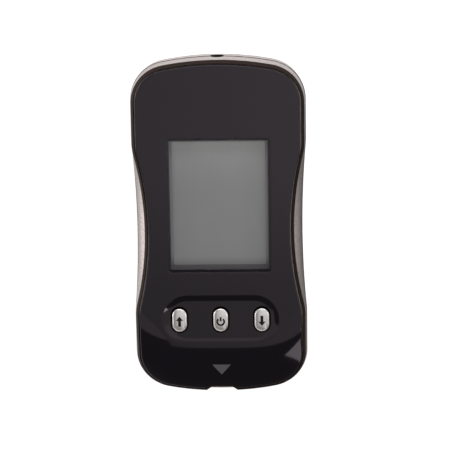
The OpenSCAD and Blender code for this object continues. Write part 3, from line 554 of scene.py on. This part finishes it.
GRIP = (11.0, 0.7)
GRIP_PITCH = 1.6
GRIP_Y = 34.7
GRIPS = 5
ARROW = [(-2.0, 38.7), (2.0, 38.7), (0.0, 40.9)]
TONGUE_END = 36.1

door = skin("battery_door", rear_rows(0, 0, PARTING_Z))
cut(door, [block((-DOOR_W / 2, DOOR_Y, -1), (DOOR_W / 2, REACH, DOOR_T))], "INTERSECT")
tongue_x = DOOR_W / 2 + TONGUE_W
cut(door, [block((-tongue_x, DOOR_Y, TONGUE_Z[0]), (tongue_x, TONGUE_END, TONGUE_Z[1]))], "UNION")
groove_section = [(-0.15, -0.05), (0.0, 0.08), (0.2, RECESS)]
grooves = []
for i in range(GRIPS):
    at = (0, GRIP_Y - i * GRIP_PITCH)
    grooves.append(skin("groove", [at_height(rounded(*GRIP, GRIP[1] / 2, inset, at=at), z)
                                   for inset, z in groove_section]))
arrow = skin("arrow", [at_height(np.array(ARROW), z) for z in (-1, RECESS)])
cut(door, [*grooves, arrow])
place(door, silver_paint, "battery_door", ["battery_door"])

# ---- Front shell ----
# The upper half of the body, painted like the rear one. Its flanks lean in from the seam to the
# edge of the face, most of all at the waist, and its deck carries the glossy plate.

FACE_SHAPE = (23.05, 2.95, -46.5, 46.3, 10.3)
SEAM_LEDGE = 0.2
DECK_TOP = 13.2
DECK_UNDER = 12.0
WINDOW = (27.2, 36.4, 0.8)
WINDOW_Y = 6.9
KEY = (4.15, 6.85)
KEY_GAP = 0.15
KEY_HOLE = (KEY[0] + 2 * KEY_GAP, KEY[1] + 2 * KEY_GAP, KEY[0] / 2 + KEY_GAP)
KEY_PITCH = 11.15
KEY_Y = -24.75
CHIN_Y = -25.4
CHIN_R = 64.0
CHIN_BOW = 5.8
DECK_CLEAR = 0.3


def chin(loop):
    """How far the face has curved down at each point: the height of an arc that starts at the chin
    line, which comes earlier towards the sides."""
    past = CHIN_Y + CHIN_BOW * (np.abs(loop[:, 0]) / FACE_SHAPE[0])**4 - loop[:, 1]
    past = np.where(loop[:, 1] > 0, 0, np.maximum(past, 0))
    return past**2 / (2 * CHIN_R)


def below_face(loop, z):
    """A loop at height z where the face is flat, and lower where it curves down."""
    return at_height(loop, z - chin(loop))


def cap_rows(loop, z, steps):
    """Ever smaller copies of a loop that carry a curved cap to its middle."""
    return [below_face(loop * s, z) for s in np.linspace(1, 0.02, steps)[1:]]


def flank_row(t, inset=0.0):
    """One loop of the flank, from the seam at t = 0 to the edge of the face at t = 1. The outline
    turns into the face's by the square of t, and its foot stands back from the rear shell."""
    body, face = plan(BODY_SHAPE, inset + SEAM_LEDGE * (1 - t)), plan(FACE_SHAPE, inset)
    top = DECK_TOP - chin(face)
    return at_height(body + (face - body) * t**2, PARTING_Z + t * (top - PARTING_Z))


def key_places():
    """The middles of the three keys, from left to right."""
    return [(i * KEY_PITCH, KEY_Y) for i in (-1, 0, 1)]


def ceiling_row(loop):
    """The hollow's ceiling, which stays above the seam where the face curves down."""
    return at_height(loop, np.maximum(DECK_UNDER - chin(loop), PARTING_Z + SEAM))


foot = flank_row(0, SEAM_BEVEL)
foot[:, 2] += SEAM / 2
flanks = [flank_row(t) for t in np.linspace((SEAM / 2 + SEAM_BEVEL) / (DECK_TOP - PARTING_Z), 1, 16)]
front = skin("front_shell", [foot] + flanks + cap_rows(plan(FACE_SHAPE), DECK_TOP, 30))
inner = plan(FACE_SHAPE, WALL)
hollow = skin("hollow", [at_height(plan(BODY_SHAPE, WALL), PARTING_Z - 1)]
              + [ceiling_row(inner * s) for s in np.linspace(1, 0.05, 24)])
cut(hollow, [block((-STRIP_BLOCK, -REACH, -1), (STRIP_BLOCK, SLOT_BACK, REACH))])
holes = [rounded(*WINDOW, at=(0, WINDOW_Y))]
holes += [rounded(*KEY_HOLE, -DECK_CLEAR, at=at) for at in key_places()]
openings = [skin("opening", [at_height(hole, z) for z in (PARTING_Z, REACH)]) for hole in holes]
cut(front, [hollow, *openings, jack_tool(), notch_tool(0), slot_tool()])
place(front, silver_paint, "meter", ["front_case"])
# The seam faces and the socket's mouth are black: bare plastic, and painted shade
blacken_as_shade(front, shaded_seam_or_mouth)

# ---- Bezel ----
# A ring around the glossy plate, moulded in dark ABS in a spark-eroded mould. It sits on the deck
# of the front shell, and a liner of the same plastic edges the notch.

BEZEL_IN = 0.9
BEZEL_FOOT = 13.25
BEZEL_TOP = 14.65
LINER_TOP = 14.55
LINER_W = 0.55
CREST_R = 0.1
GRAIN_MM = 0.22

# The spark-eroded mould leaves grains of about 0.1 mm, which make the ABS look dull and sandy. They
# are drawn at 0.22 mm so that they show
textured_abs, tree = new_material("spark_textured_dark_abs")
where = add(tree, "TexCoord").outputs["Object"]
grain = add(tree, "TexNoise", {"Vector": where, "Scale": 1000 / GRAIN_MM, "Detail": 3.0})
speck = add(tree, "MapRange", {"Value": grain.outputs[0], "From Min": 0.35, "From Max": 0.7})
tone = add(tree, "MixRGB", {"Fac": speck.outputs[0], "Color1": linear("#130e0c"),
                            "Color2": linear("#32251f")})
bumps = add(tree, "Bump", {"Height": grain.outputs[0], "Strength": 0.6, "Distance": 0.00004})
dull = add(tree, "BsdfPrincipled", {"Base Color": tone.outputs[0], "Roughness": 0.55, "IOR": 1.5,
                                    "Specular IOR Level": 0.14, "Specular Tint": linear("#ffdfd0"),
                                    "Normal": bumps.outputs[0]})
add(tree, "OutputMaterial", {"Surface": dull.outputs[0]})

# The ring's section, as insets and heights: a foot, a slope and a rounded crest
turn = np.radians([-50, -25, 0, 25, 50, 75])
crest = np.column_stack([0.8 + CREST_R * np.sin(turn) - CREST_R * np.cos(turn) * 0.6,
                         BEZEL_TOP - CREST_R + CREST_R * np.cos(turn)])
profile = [(0.04, BEZEL_FOOT), (0.04, 13.36), (0.1, 13.52), (0.3, 13.86), (0.55, 14.27), *crest,
           (BEZEL_IN, 14.5), (BEZEL_IN, BEZEL_FOOT)]
bezel = skin("dark_bezel", [below_face(plan(FACE_SHAPE, d), z) for d, z in profile], ring=True)
# The liner stands a little lower than the plate
outline = plan(FACE_SHAPE, 0.5)
liner = skin("liner", cap_rows(outline, BEZEL_FOOT, 24)[::-1]
             + [below_face(outline, z) for z in (BEZEL_FOOT, LINER_TOP)]
             + cap_rows(outline, LINER_TOP, 24))
cut(liner, [notch_tool(0, LINER_W)], "INTERSECT")
cut(bezel, [liner], "UNION")
cut(bezel, [notch_tool(0)])
place(bezel, textured_abs, "meter", ["front_bezel"])

# ---- Glossy plate ----
# Injection-moulded acrylic, black through and polished. A dish around the keys is pressed into it,
# the window is cut out with a ledge for the lens, and its edge is rounded over the groove. Tape
# holds it to the deck.

FACE_TOP = 15.0
PLATE_T = 1.6
PLATE_IN = 1.12
PLATE_R = 0.22
DISH = (31.9, 14.0, 7.0)
DISH_FLOOR = 14.62
DISH_WALL = 1.85
DISH_EASE = 1.15
LINER_GAP = 0.08
LEDGE_Z = 13.65
LEDGE = 0.5
HAZE_MM = 9
PEEL_MM = 6

# Polished acrylic mirrors the lamps almost sharply. Its gloss varies over about 9 mm, and the faint
# waves of a moulded face, about 6 mm long, bend the mirror images a little
black_acrylic, tree = new_material("polished_black_acrylic")
where = add(tree, "TexCoord").outputs["Object"]
haze = add(tree, "TexNoise", {"Vector": where, "Scale": 1000 / HAZE_MM, "Detail": 3.0})
gloss = add(tree, "MapRange", {"Value": haze.outputs[0], "To Min": 0.035, "To Max": 0.075})
orange_peel = add(tree, "TexNoise", {"Vector": where, "Scale": 1000 / PEEL_MM, "Detail": 0.0})
bumps = add(tree, "Bump", {"Height": orange_peel.outputs[0], "Strength": 0.05, "Distance": 0.00002})
acrylic = add(tree, "BsdfPrincipled", {
    "Base Color": linear("#141216"), "IOR": 1.49, "Specular Tint": linear("#fff0f8"),
    "Roughness": gloss.outputs[0], "Normal": bumps.outputs[0]})
add(tree, "OutputMaterial", {"Surface": acrylic.outputs[0]})

turn = np.radians(np.linspace(0, 90, 8))
edge = [below_face(plan(FACE_SHAPE, PLATE_IN + PLATE_R * (1 - math.cos(a))),
                   FACE_TOP - PLATE_R + PLATE_R * math.sin(a)) for a in turn]
foot = plan(FACE_SHAPE, PLATE_IN)
plate = skin("glossy_plate", cap_rows(foot, FACE_TOP - PLATE_T, 24)[::-1]
             + [below_face(foot, FACE_TOP - PLATE_T)] + edge
             + cap_rows(plan(FACE_SHAPE, PLATE_IN + PLATE_R), FACE_TOP, 80))

# The dish's wall rises from its floor to the face as a power of the way out
dish_rows = []
for s in np.linspace(0, 1, 12):
    loop = rounded(*DISH, DISH_WALL * (1 - s), at=(0, KEY_Y))
    dish_rows.append(at_height(loop, DISH_FLOOR + (FACE_TOP - chin(loop) - DISH_FLOOR) * s**DISH_EASE))
dish = skin("dish", [*dish_rows, at_height(loop, REACH)])
# Insets and heights of the window's rounded edge, and of the lip of a key hole in the dish
window_edge = [(-0.25, 15.2), (-0.12, 15.0), (-0.035, 14.965), (0.0, 14.88), (0.0, LEDGE_Z)]
window = skin("window", [at_height(rounded(*WINDOW, d, at=(0, WINDOW_Y)), z)
                         for d, z in reversed(window_edge)])
ledge = skin("ledge", [at_height(rounded(*WINDOW, LEDGE, at=(0, WINDOW_Y)), z)
                       for z in (PARTING_Z, FACE_TOP - 1)])
lip = [(-0.32, 0.2), (-0.21, 0), (-0.15, -0.02), (-0.11, -0.06), (-0.1, -0.15), (-0.1, -5)]
holes = [skin("key_hole", [at_height(rounded(*KEY_HOLE, d, at=at), DISH_FLOOR + z)
                           for d, z in reversed(lip)]) for at in key_places()]
cut(plate, [dish, window, ledge, *holes, notch_tool(0, LINER_W + LINER_GAP)])
place(plate, black_acrylic, "meter", ["faceplate"])


def shaded_hole_walls(x, y, z, upward):
    """The walls of the key holes, below the dish's floor, are left rough and black as painted shade."""
    in_dish = (np.abs(x) < DISH[0] / 2 - DISH_WALL) & (np.abs(y - KEY_Y) < DISH[1] / 2 - DISH_WALL)
    return in_dish & (z > FACE_TOP - PLATE_T + 0.01) & (z < DISH_FLOOR - 0.005)


# The key holes' walls are black, as painted shade in the gaps round the keys
blacken_as_shade(plate, shaded_hole_walls)

# ---- Strip mark ----
# A triangle that points to the strip port, in grey ink. It is pad-printed on the chin of the glossy
# plate and stands up from it by the thickness of the ink.

MARK = np.array([(2.53, -37.76), (-2.53, -37.76), (0.0, -40.8)])
INK_T = 0.025
GREY_MOTTLE_MM = 0.4

# Pad-printing ink dries dull, with the faint mottle that the pad leaves
grey_ink, tree = new_material("grey_pad_printing_ink")
where = add(tree, "TexCoord").outputs["Object"]
mottle = add(tree, "TexNoise", {"Vector": where, "Scale": 1000 / GREY_MOTTLE_MM, "Detail": 2.0})
tone = add(tree, "MixRGB", {"Fac": mottle.outputs[0], "Color1": linear("#474749"),
                            "Color2": linear("#535355")})
ink = add(tree, "BsdfPrincipled", {"Base Color": tone.outputs[0], "Roughness": 0.5})
add(tree, "OutputMaterial", {"Surface": ink.outputs[0]})

triangle = np.concatenate([np.linspace(MARK[k], MARK[(k + 1) % 3], 10)[:-1] for k in range(3)])
middle = MARK.mean(0)
rows = [below_face(triangle, FACE_TOP - 0.1)]
rows += [below_face(middle + (triangle - middle) * s, FACE_TOP + INK_T)
         for s in (1, 0.98, 0.75, 0.5, 0.25, 0.02)]
mark = skin("strip_mark", rows)
place(mark, grey_ink, "meter")

# ---- Keys ----
# Three pillow-shaped caps with a flange under the deck and a stem over the dome, moulded in black
# ABS. Only their caps are painted, and their legends are printed in black. Below the caps the black
# also stands as painted shade in the gaps round the keys.

KEY_TOP = 15.15
KEY_FLANGE = 0.75
CAP_IN = 0.09
KEY_BOW = 0.2
KEY_SHOULDER = 14.5
KEY_POWER = 2.15
CAP_L = 6.6
CAP_BACK = 0.12
STEM_R = 1.2
STEM_FOOT = 7.34
FLANGE_Z = (11.25, 11.95)
BLACK_MOTTLE_MM = 0.3

# Satin paint under a thin clear coat: brighter and smoother than the shells, with a soft highlight.
# Its flakes are drawn as coarse as theirs
key_paint, tree = new_material("satin_silver_paint_on_key")
where = add(tree, "TexCoord").outputs["Object"]
flakes = add(tree, "TexVoronoi", {"Vector": where, "Scale": 1000 / FLAKE_MM})
grain = add(tree, "SeparateColor", {0: flakes.outputs["Color"]})
tone = add(tree, "MixRGB", {"Fac": grain.outputs[0], "Color1": linear("#dad5d4"),
                            "Color2": linear("#e0dcdb")})
gloss = add(tree, "MapRange", {"Value": grain.outputs[1], "To Min": 0.27, "To Max": 0.31})
satin = add(tree, "BsdfPrincipled", {
    "Base Color": tone.outputs[0], "Metallic": 0.75, "Roughness": gloss.outputs[0],
    "Coat Weight": 0.3, "Coat Roughness": 0.12})
add(tree, "OutputMaterial", {"Surface": satin.outputs[0]})

# Black ink, which dries dull on the glossy paint
black_ink, tree = new_material("black_pad_printing_ink")
where = add(tree, "TexCoord").outputs["Object"]
mottle = add(tree, "TexNoise", {"Vector": where, "Scale": 1000 / BLACK_MOTTLE_MM, "Detail": 2.0})
tone = add(tree, "MixRGB", {"Fac": mottle.outputs[0], "Color1": linear("#050505"),
                            "Color2": linear("#0c0c0c")})
ink = add(tree, "BsdfPrincipled", {"Base Color": tone.outputs[0], "Roughness": 0.7,
                                   "Specular IOR Level": 0.25})
add(tree, "OutputMaterial", {"Surface": ink.outputs[0]})


def sag(points, at):
    """How far a key's long back falls towards its two ends: a parabola along Y."""
    return KEY_BOW * ((points[:, 1] - at[1]) / (CAP_L / 2))**2


def cap_middle(at):
    """A cap stands a little back on its flange, towards the strip end."""
    return (at[0], at[1] - CAP_BACK)


def key_rows(at):
    """Loops of a key: stem, flange, shaft and a cap that rises as a superellipse to its middle."""
    radius = KEY[0] / 2
    stem = rounded(2 * STEM_R, 2 * STEM_R, STEM_R, at=at)
    flange = rounded(*KEY, radius, -KEY_FLANGE, at=at)
    at = cap_middle(at)
    shaft = rounded(KEY[0], CAP_L, radius, CAP_IN, at=at)
    rows = [at_height(stem, STEM_FOOT), at_height(stem, FLANGE_Z[0])]
    rows += [at_height(flange, FLANGE_Z[0]), at_height(flange, FLANGE_Z[1])]
    rows += [at_height(shaft, FLANGE_Z[1]), at_height(shaft, KEY_SHOULDER)]
    for inward in (1 - np.cos(np.radians(np.linspace(0, 88, 22))))[1:]:
        rise = (1 - (1 - inward)**KEY_POWER)**(1 / KEY_POWER)
        loop = rounded(KEY[0], CAP_L, radius, CAP_IN + (radius - CAP_IN) * inward, at=at)
        rows.append(at_height(loop, KEY_SHOULDER + rise * (KEY_TOP - KEY_SHOULDER - sag(loop, at))))
    return rows


def crown(points, at):
    """Height of a key's top: the superellipse over the distance from its middle line."""
    at = cap_middle(at)
    x, y = np.abs(points - at).T
    radius = KEY[0] / 2
    off = np.hypot(x, np.maximum(y - (CAP_L / 2 - radius), 0)) / (radius - CAP_IN)
    rise = (1 - np.minimum(off, 1)**KEY_POWER)**(1 / KEY_POWER)
    return KEY_SHOULDER + rise * (KEY_TOP - KEY_SHOULDER - sag(points, at))


def stroke(name, path, widths, at, body):
    """A printed stroke: ink as wide as widths says, laid over a key's crown along a path."""
    path = np.asarray(path, float)
    ahead = np.gradient(path, axis=0)
    ahead /= np.linalg.norm(ahead, axis=1)[:, None]
    across = np.stack([ahead[:, 1], -ahead[:, 0]], 1) * (np.asarray(widths, float)[:, None] / 2)
    lanes = [path + across * k for k in np.linspace(-1, 1, 9)]
    over = [np.column_stack([lane, crown(lane, at) + INK_T / 2]) for lane in lanes]
    under = [np.column_stack([lane, crown(lane, at) - INK_T]) for lane in lanes]
    made = skin(name, np.stack(under + over[::-1], 1))
    place(made, black_ink, body)


for name, at in zip(("key_up", "key_power", "key_down"), key_places()):
    made = skin(name + "_cap", key_rows(at))
    place(made, key_paint, name, [name])
    # Below the shoulder each key is black: bare plastic, and painted shade in its gap
    blacken_as_shade(made, lambda x, y, z, upward: z < KEY_SHOULDER)

# Arrows: a shaft whose width jumps at the head and then falls to the tip
ARROW_L = 2.85
HEAD_L = 1.2
SHAFT_W = 0.76
HEAD_W = (1.95, 0.03)
neck = ARROW_L / 2 - HEAD_L
ends = np.concatenate([np.linspace(-ARROW_L / 2, neck, 8), np.linspace(neck + 0.01, ARROW_L / 2, 12)])
widths = np.concatenate([np.full(8, SHAFT_W), np.linspace(*HEAD_W, 12)])
for name, sign, drop in (("key_up", 1, 0.35), ("key_down", -1, 0.25)):
    at = key_places()[1 - sign]
    path = [(at[0], at[1] - drop + sign * e) for e in ends]
    stroke("legend_" + name, path, widths, at, name)

# The power symbol: an open ring and an upright bar in its gap
RING_R = 0.95
RING_DROP = 0.45
LINE_W = 0.5
at = key_places()[1]
middle = (at[0], at[1] - RING_DROP)
ring = arc(middle, RING_R, 130, 410, 40)
stroke("legend_power_ring", ring, np.full(40, LINE_W), at, "key_power")
bar = [(middle[0], middle[1] + e) for e in (0.15, 0.7, 1.3)]
stroke("legend_power_bar", bar, [LINE_W] * 3, at, "key_power")

# ---- Lens ----
# A window cut from clear cast acrylic, with bevelled edges. It rests on the ledge of the plate and
# leaves an open line along its lower edge.

LENS_T = 0.8
LENS_GAP = 0.08
LENS_BEVEL = 0.18
LENS_SHORT = 0.3
WIPE_MM = 7

# Clear acrylic shows what lies under it, and its outer faces mirror a little, more so at a slant.
# Its gloss varies over about 7 mm, as wiping leaves it
clear_acrylic, tree = new_material("clear_cast_acrylic")
where = add(tree, "TexCoord").outputs["Object"]
haze = add(tree, "TexNoise", {"Vector": where, "Scale": 1000 / WIPE_MM, "Detail": 2.0})
gloss = add(tree, "MapRange", {"Value": haze.outputs[0], "To Min": 0.02, "To Max": 0.05})
mirror = add(tree, "BsdfGlossy", {"Color": linear("#ffffff"), "Roughness": gloss.outputs[0]})
through = add(tree, "BsdfTransparent", {"Color": linear("#fdfefe")})
film = add(tree, "Fresnel", {"IOR": 1.49})
side = add(tree, "NewGeometry")
outside = add(tree, "Math", {0: 1.0, 1: side.outputs["Backfacing"]}, operation="SUBTRACT")
share = add(tree, "Math", {0: film.outputs[0], 1: outside.outputs[0]}, operation="MULTIPLY")
lens_look = add(tree, "MixShader", {0: share.outputs[0], 1: through.outputs[0], 2: mirror.outputs[0]})
add(tree, "OutputMaterial", {"Surface": lens_look.outputs[0]})

lens_rows = [(LENS_GAP, LEDGE_Z), (LENS_GAP, LEDGE_Z + LENS_T - LENS_BEVEL),
             (LENS_GAP + LENS_BEVEL, LEDGE_Z + LENS_T)]
lens_plan = (WINDOW[0], WINDOW[1] - LENS_SHORT, WINDOW[2])
lens = skin("clear_lens", [at_height(rounded(*lens_plan, d, at=(0, WINDOW_Y + LENS_SHORT / 2)), z)
                           for d, z in lens_rows])
place(lens, clear_acrylic, "meter", ["display_lens"])

# ---- Display panel ----
# A liquid crystal panel: two sheets of glass with a reflective film behind them, sealed round their
# edges. It lies in its frame under the lens and keeps its CAD shape.

# Where the painted shade along the panel's left and lower edges begins, in metres
PAINTED_SHADE_X = -0.01245
PAINTED_SHADE_Y = -0.01015
FILM_MM = 5


def finish_node(material, *names):
    """Gives CAD nodes their material."""
    for name in names:
        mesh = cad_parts[name].data
        mesh.materials.clear()
        mesh.materials.append(material)


# The film looks matt and grey, with a mottle of about 5 mm. Painted light makes it paler towards
# its upper and side edges, and painted shade darkens it along its lower and left edges, where the
# walls of the window shade it
lcd_glass, tree = new_material("reflective_liquid_crystal_glass")
where = add(tree, "TexCoord").outputs["Object"]
spot = add(tree, "SeparateXYZ", {0: where})
# Painted light: the film grows paler towards its top and towards both sides
climb = add(tree, "MapRange", {"Value": spot.outputs["Y"], "From Min": 0.007, "From Max": 0.0233})
painted_top_light = add(tree, "Math", {0: climb.outputs[0], 1: 3.0}, operation="POWER")
painted_left_light = add(tree, "MapRange", {"Value": spot.outputs["X"], "From Min": -0.002, "From Max": -0.008,
                                   "To Min": 0.0, "To Max": 0.11})
painted_right_light = add(tree, "MapRange", {"Value": spot.outputs["X"], "From Min": 0.008, "From Max": 0.0115,
                                    "To Min": 0.0, "To Max": 0.12})
painted_side_light = add(tree, "Math", {0: painted_left_light.outputs[0], 1: painted_right_light.outputs[0]}, operation="ADD")
painted_light = add(tree, "Math", {0: painted_top_light.outputs[0], 1: painted_side_light.outputs[0]}, operation="ADD")
film = add(tree, "MixRGB", {"Fac": painted_light.outputs[0], "Color1": linear("#868383"),
                            "Color2": linear("#b5b2b2")})
mottle = add(tree, "TexNoise", {"Vector": where, "Scale": 1000 / FILM_MM, "Detail": 2.0})
speckle = add(tree, "Math", {0: mottle.outputs[0], 1: 0.4}, operation="MULTIPLY")
tone = add(tree, "MixRGB", {"Fac": speckle.outputs[0], "Color1": film.outputs[0],
                            "Color2": linear("#888686")})
# Painted shade: the film darkens along its lower and left edges
painted_low_shade = add(tree, "MapRange", {"Value": spot.outputs["Y"], "From Min": PAINTED_SHADE_Y,
                                  "From Max": PAINTED_SHADE_Y + 0.0026, "To Min": 0.34, "To Max": 0.0},
               interpolation_type="SMOOTHSTEP")
painted_left_shade = add(tree, "MapRange", {"Value": spot.outputs["X"], "From Min": PAINTED_SHADE_X,
                                   "From Max": PAINTED_SHADE_X + 0.0012, "To Min": 0.08, "To Max": 0.0},
                interpolation_type="SMOOTHSTEP")
edges = add(tree, "Math", {0: painted_low_shade.outputs[0], 1: painted_left_shade.outputs[0]}, operation="MAXIMUM")
film_with_painted_shade = add(tree, "MixRGB", {"Fac": edges.outputs[0], "Color1": tone.outputs[0],
                              "Color2": linear("#2c2a2a")})
panel = add(tree, "BsdfPrincipled", {"Base Color": film_with_painted_shade.outputs[0], "Roughness": 0.3, "IOR": 1.52})
add(tree, "OutputMaterial", {"Surface": panel.outputs[0]})
finish_node(lcd_glass, "lcd_panel")

# ---- Panel frame ----
# Moulded in grey ABS, it holds the panel and stands on the board. Its sides show as a thin grey line
# round the glass, and it keeps its CAD shape.

FRAME_GRAIN_MM = 0.4

# Plain moulded ABS has a fine grain and little shine. The lower bar is darker than the sides: painted
# shade, as the bezel's shade falls on it
frame_abs, tree = new_material("moulded_grey_frame_abs")
where = add(tree, "TexCoord").outputs["Object"]
spot = add(tree, "SeparateXYZ", {0: where})
grain = add(tree, "TexNoise", {"Vector": where, "Scale": 1000 / FRAME_GRAIN_MM, "Detail": 2.0})
shade = add(tree, "MapRange", {"Value": spot.outputs["Y"], "From Min": PAINTED_SHADE_Y,
                               "From Max": PAINTED_SHADE_Y + 0.003})
tone = add(tree, "MixRGB", {"Fac": shade.outputs[0], "Color1": linear("#3e3b3d"),
                            "Color2": linear("#7a7778")})
speckle = add(tree, "Math", {0: grain.outputs[0], 1: 0.2}, operation="MULTIPLY")
mixed = add(tree, "MixRGB", {"Fac": speckle.outputs[0], "Color1": tone.outputs[0],
                             "Color2": linear("#686567")})
dull = add(tree, "BsdfPrincipled", {"Base Color": mixed.outputs[0], "Roughness": 0.5})
add(tree, "OutputMaterial", {"Surface": dull.outputs[0]})
finish_node(frame_abs, "lcd_frame")

# ---- Pieces inside the case ----
# The board with its chips, sockets and domes, the cells with their contacts, the screws, and the tape
# under the plate. They keep their CAD shape, and each has the finish of its real material.


def simple(name, dark, light, grain_mm, **sockets):
    """A material whose tone wanders between two colours at one grain size, with a fine bump."""
    made, tree = new_material(name)
    where = add(tree, "TexCoord").outputs["Object"]
    grain = add(tree, "TexNoise", {"Vector": where, "Scale": 1000 / grain_mm, "Detail": 3.0})
    tone = add(tree, "MixRGB", {"Fac": grain.outputs[0], "Color1": linear(dark),
                                "Color2": linear(light)})
    bumps = add(tree, "Bump", {"Height": grain.outputs[0], "Strength": 0.2, "Distance": 0.00002})
    values = {key.replace("_", " "): value for key, value in sockets.items()}
    look = add(tree, "BsdfPrincipled", {"Base Color": tone.outputs[0], "Normal": bumps.outputs[0],
                                        **values})
    add(tree, "OutputMaterial", {"Surface": look.outputs[0]})
    return made


# Silicone with layers of carbon: dull and dark grey
silicone = simple("layered_conductive_silicone", "#3c3f45", "#5d6168", 0.3, Roughness=0.6)
finish_node(silicone, "zebra_strip")
# Lacquer over woven glass: glossy green, with the weave showing through
solder_mask = simple("solder_mask_on_glass_epoxy", "#123f25", "#1c5a38", 1.2, Roughness=0.35)
finish_node(solder_mask, "circuit_board")
# Moulded epoxy and black plastic: satin, with a fine grain
epoxy = simple("moulded_black_epoxy", "#161617", "#232325", 0.3, Roughness=0.45)
finish_node(epoxy, "microcontroller", "memory_chip", "signal_amplifier", "temperature_sensor",
            "sounder", "data_jack")
# Fired ceramic: brown and a little sandy
ceramic = simple("fired_ceramic", "#7d6142", "#a58a62", 0.4, Roughness=0.5)
finish_node(ceramic, "board_passives")
# Nickel plate: a bright grey metal with a soft mirror image
nickel = simple("nickel_plated_steel", "#b4b3af", "#cfcdc8", 0.25, Metallic=1.0, Roughness=0.28)
finish_node(nickel, "timing_crystal", "dome_up", "dome_power", "dome_down", "coin_cell_left",
            "coin_cell_right", "case_screws", "board_screws")
# Moulded nylon: ivory and slightly waxy
nylon = simple("moulded_ivory_nylon", "#cfc8b8", "#e0dacb", 0.5, Roughness=0.5)
finish_node(nylon, "strip_connector")
# Gold plate on bronze: a warm yellow metal with a soft mirror image
gold = simple("gold_plated_bronze", "#c79a45", "#dcb765", 0.3, Metallic=1.0, Roughness=0.25)
finish_node(gold, "strip_contacts", "jack_contacts", "cell_contact_plus", "cell_contact_minus")
# Foam tape: black and open-pored, with no shine
foam = simple("black_foam_tape", "#101011", "#1c1c1d", 0.3, Roughness=0.9)
finish_node(foam, "face_tape")
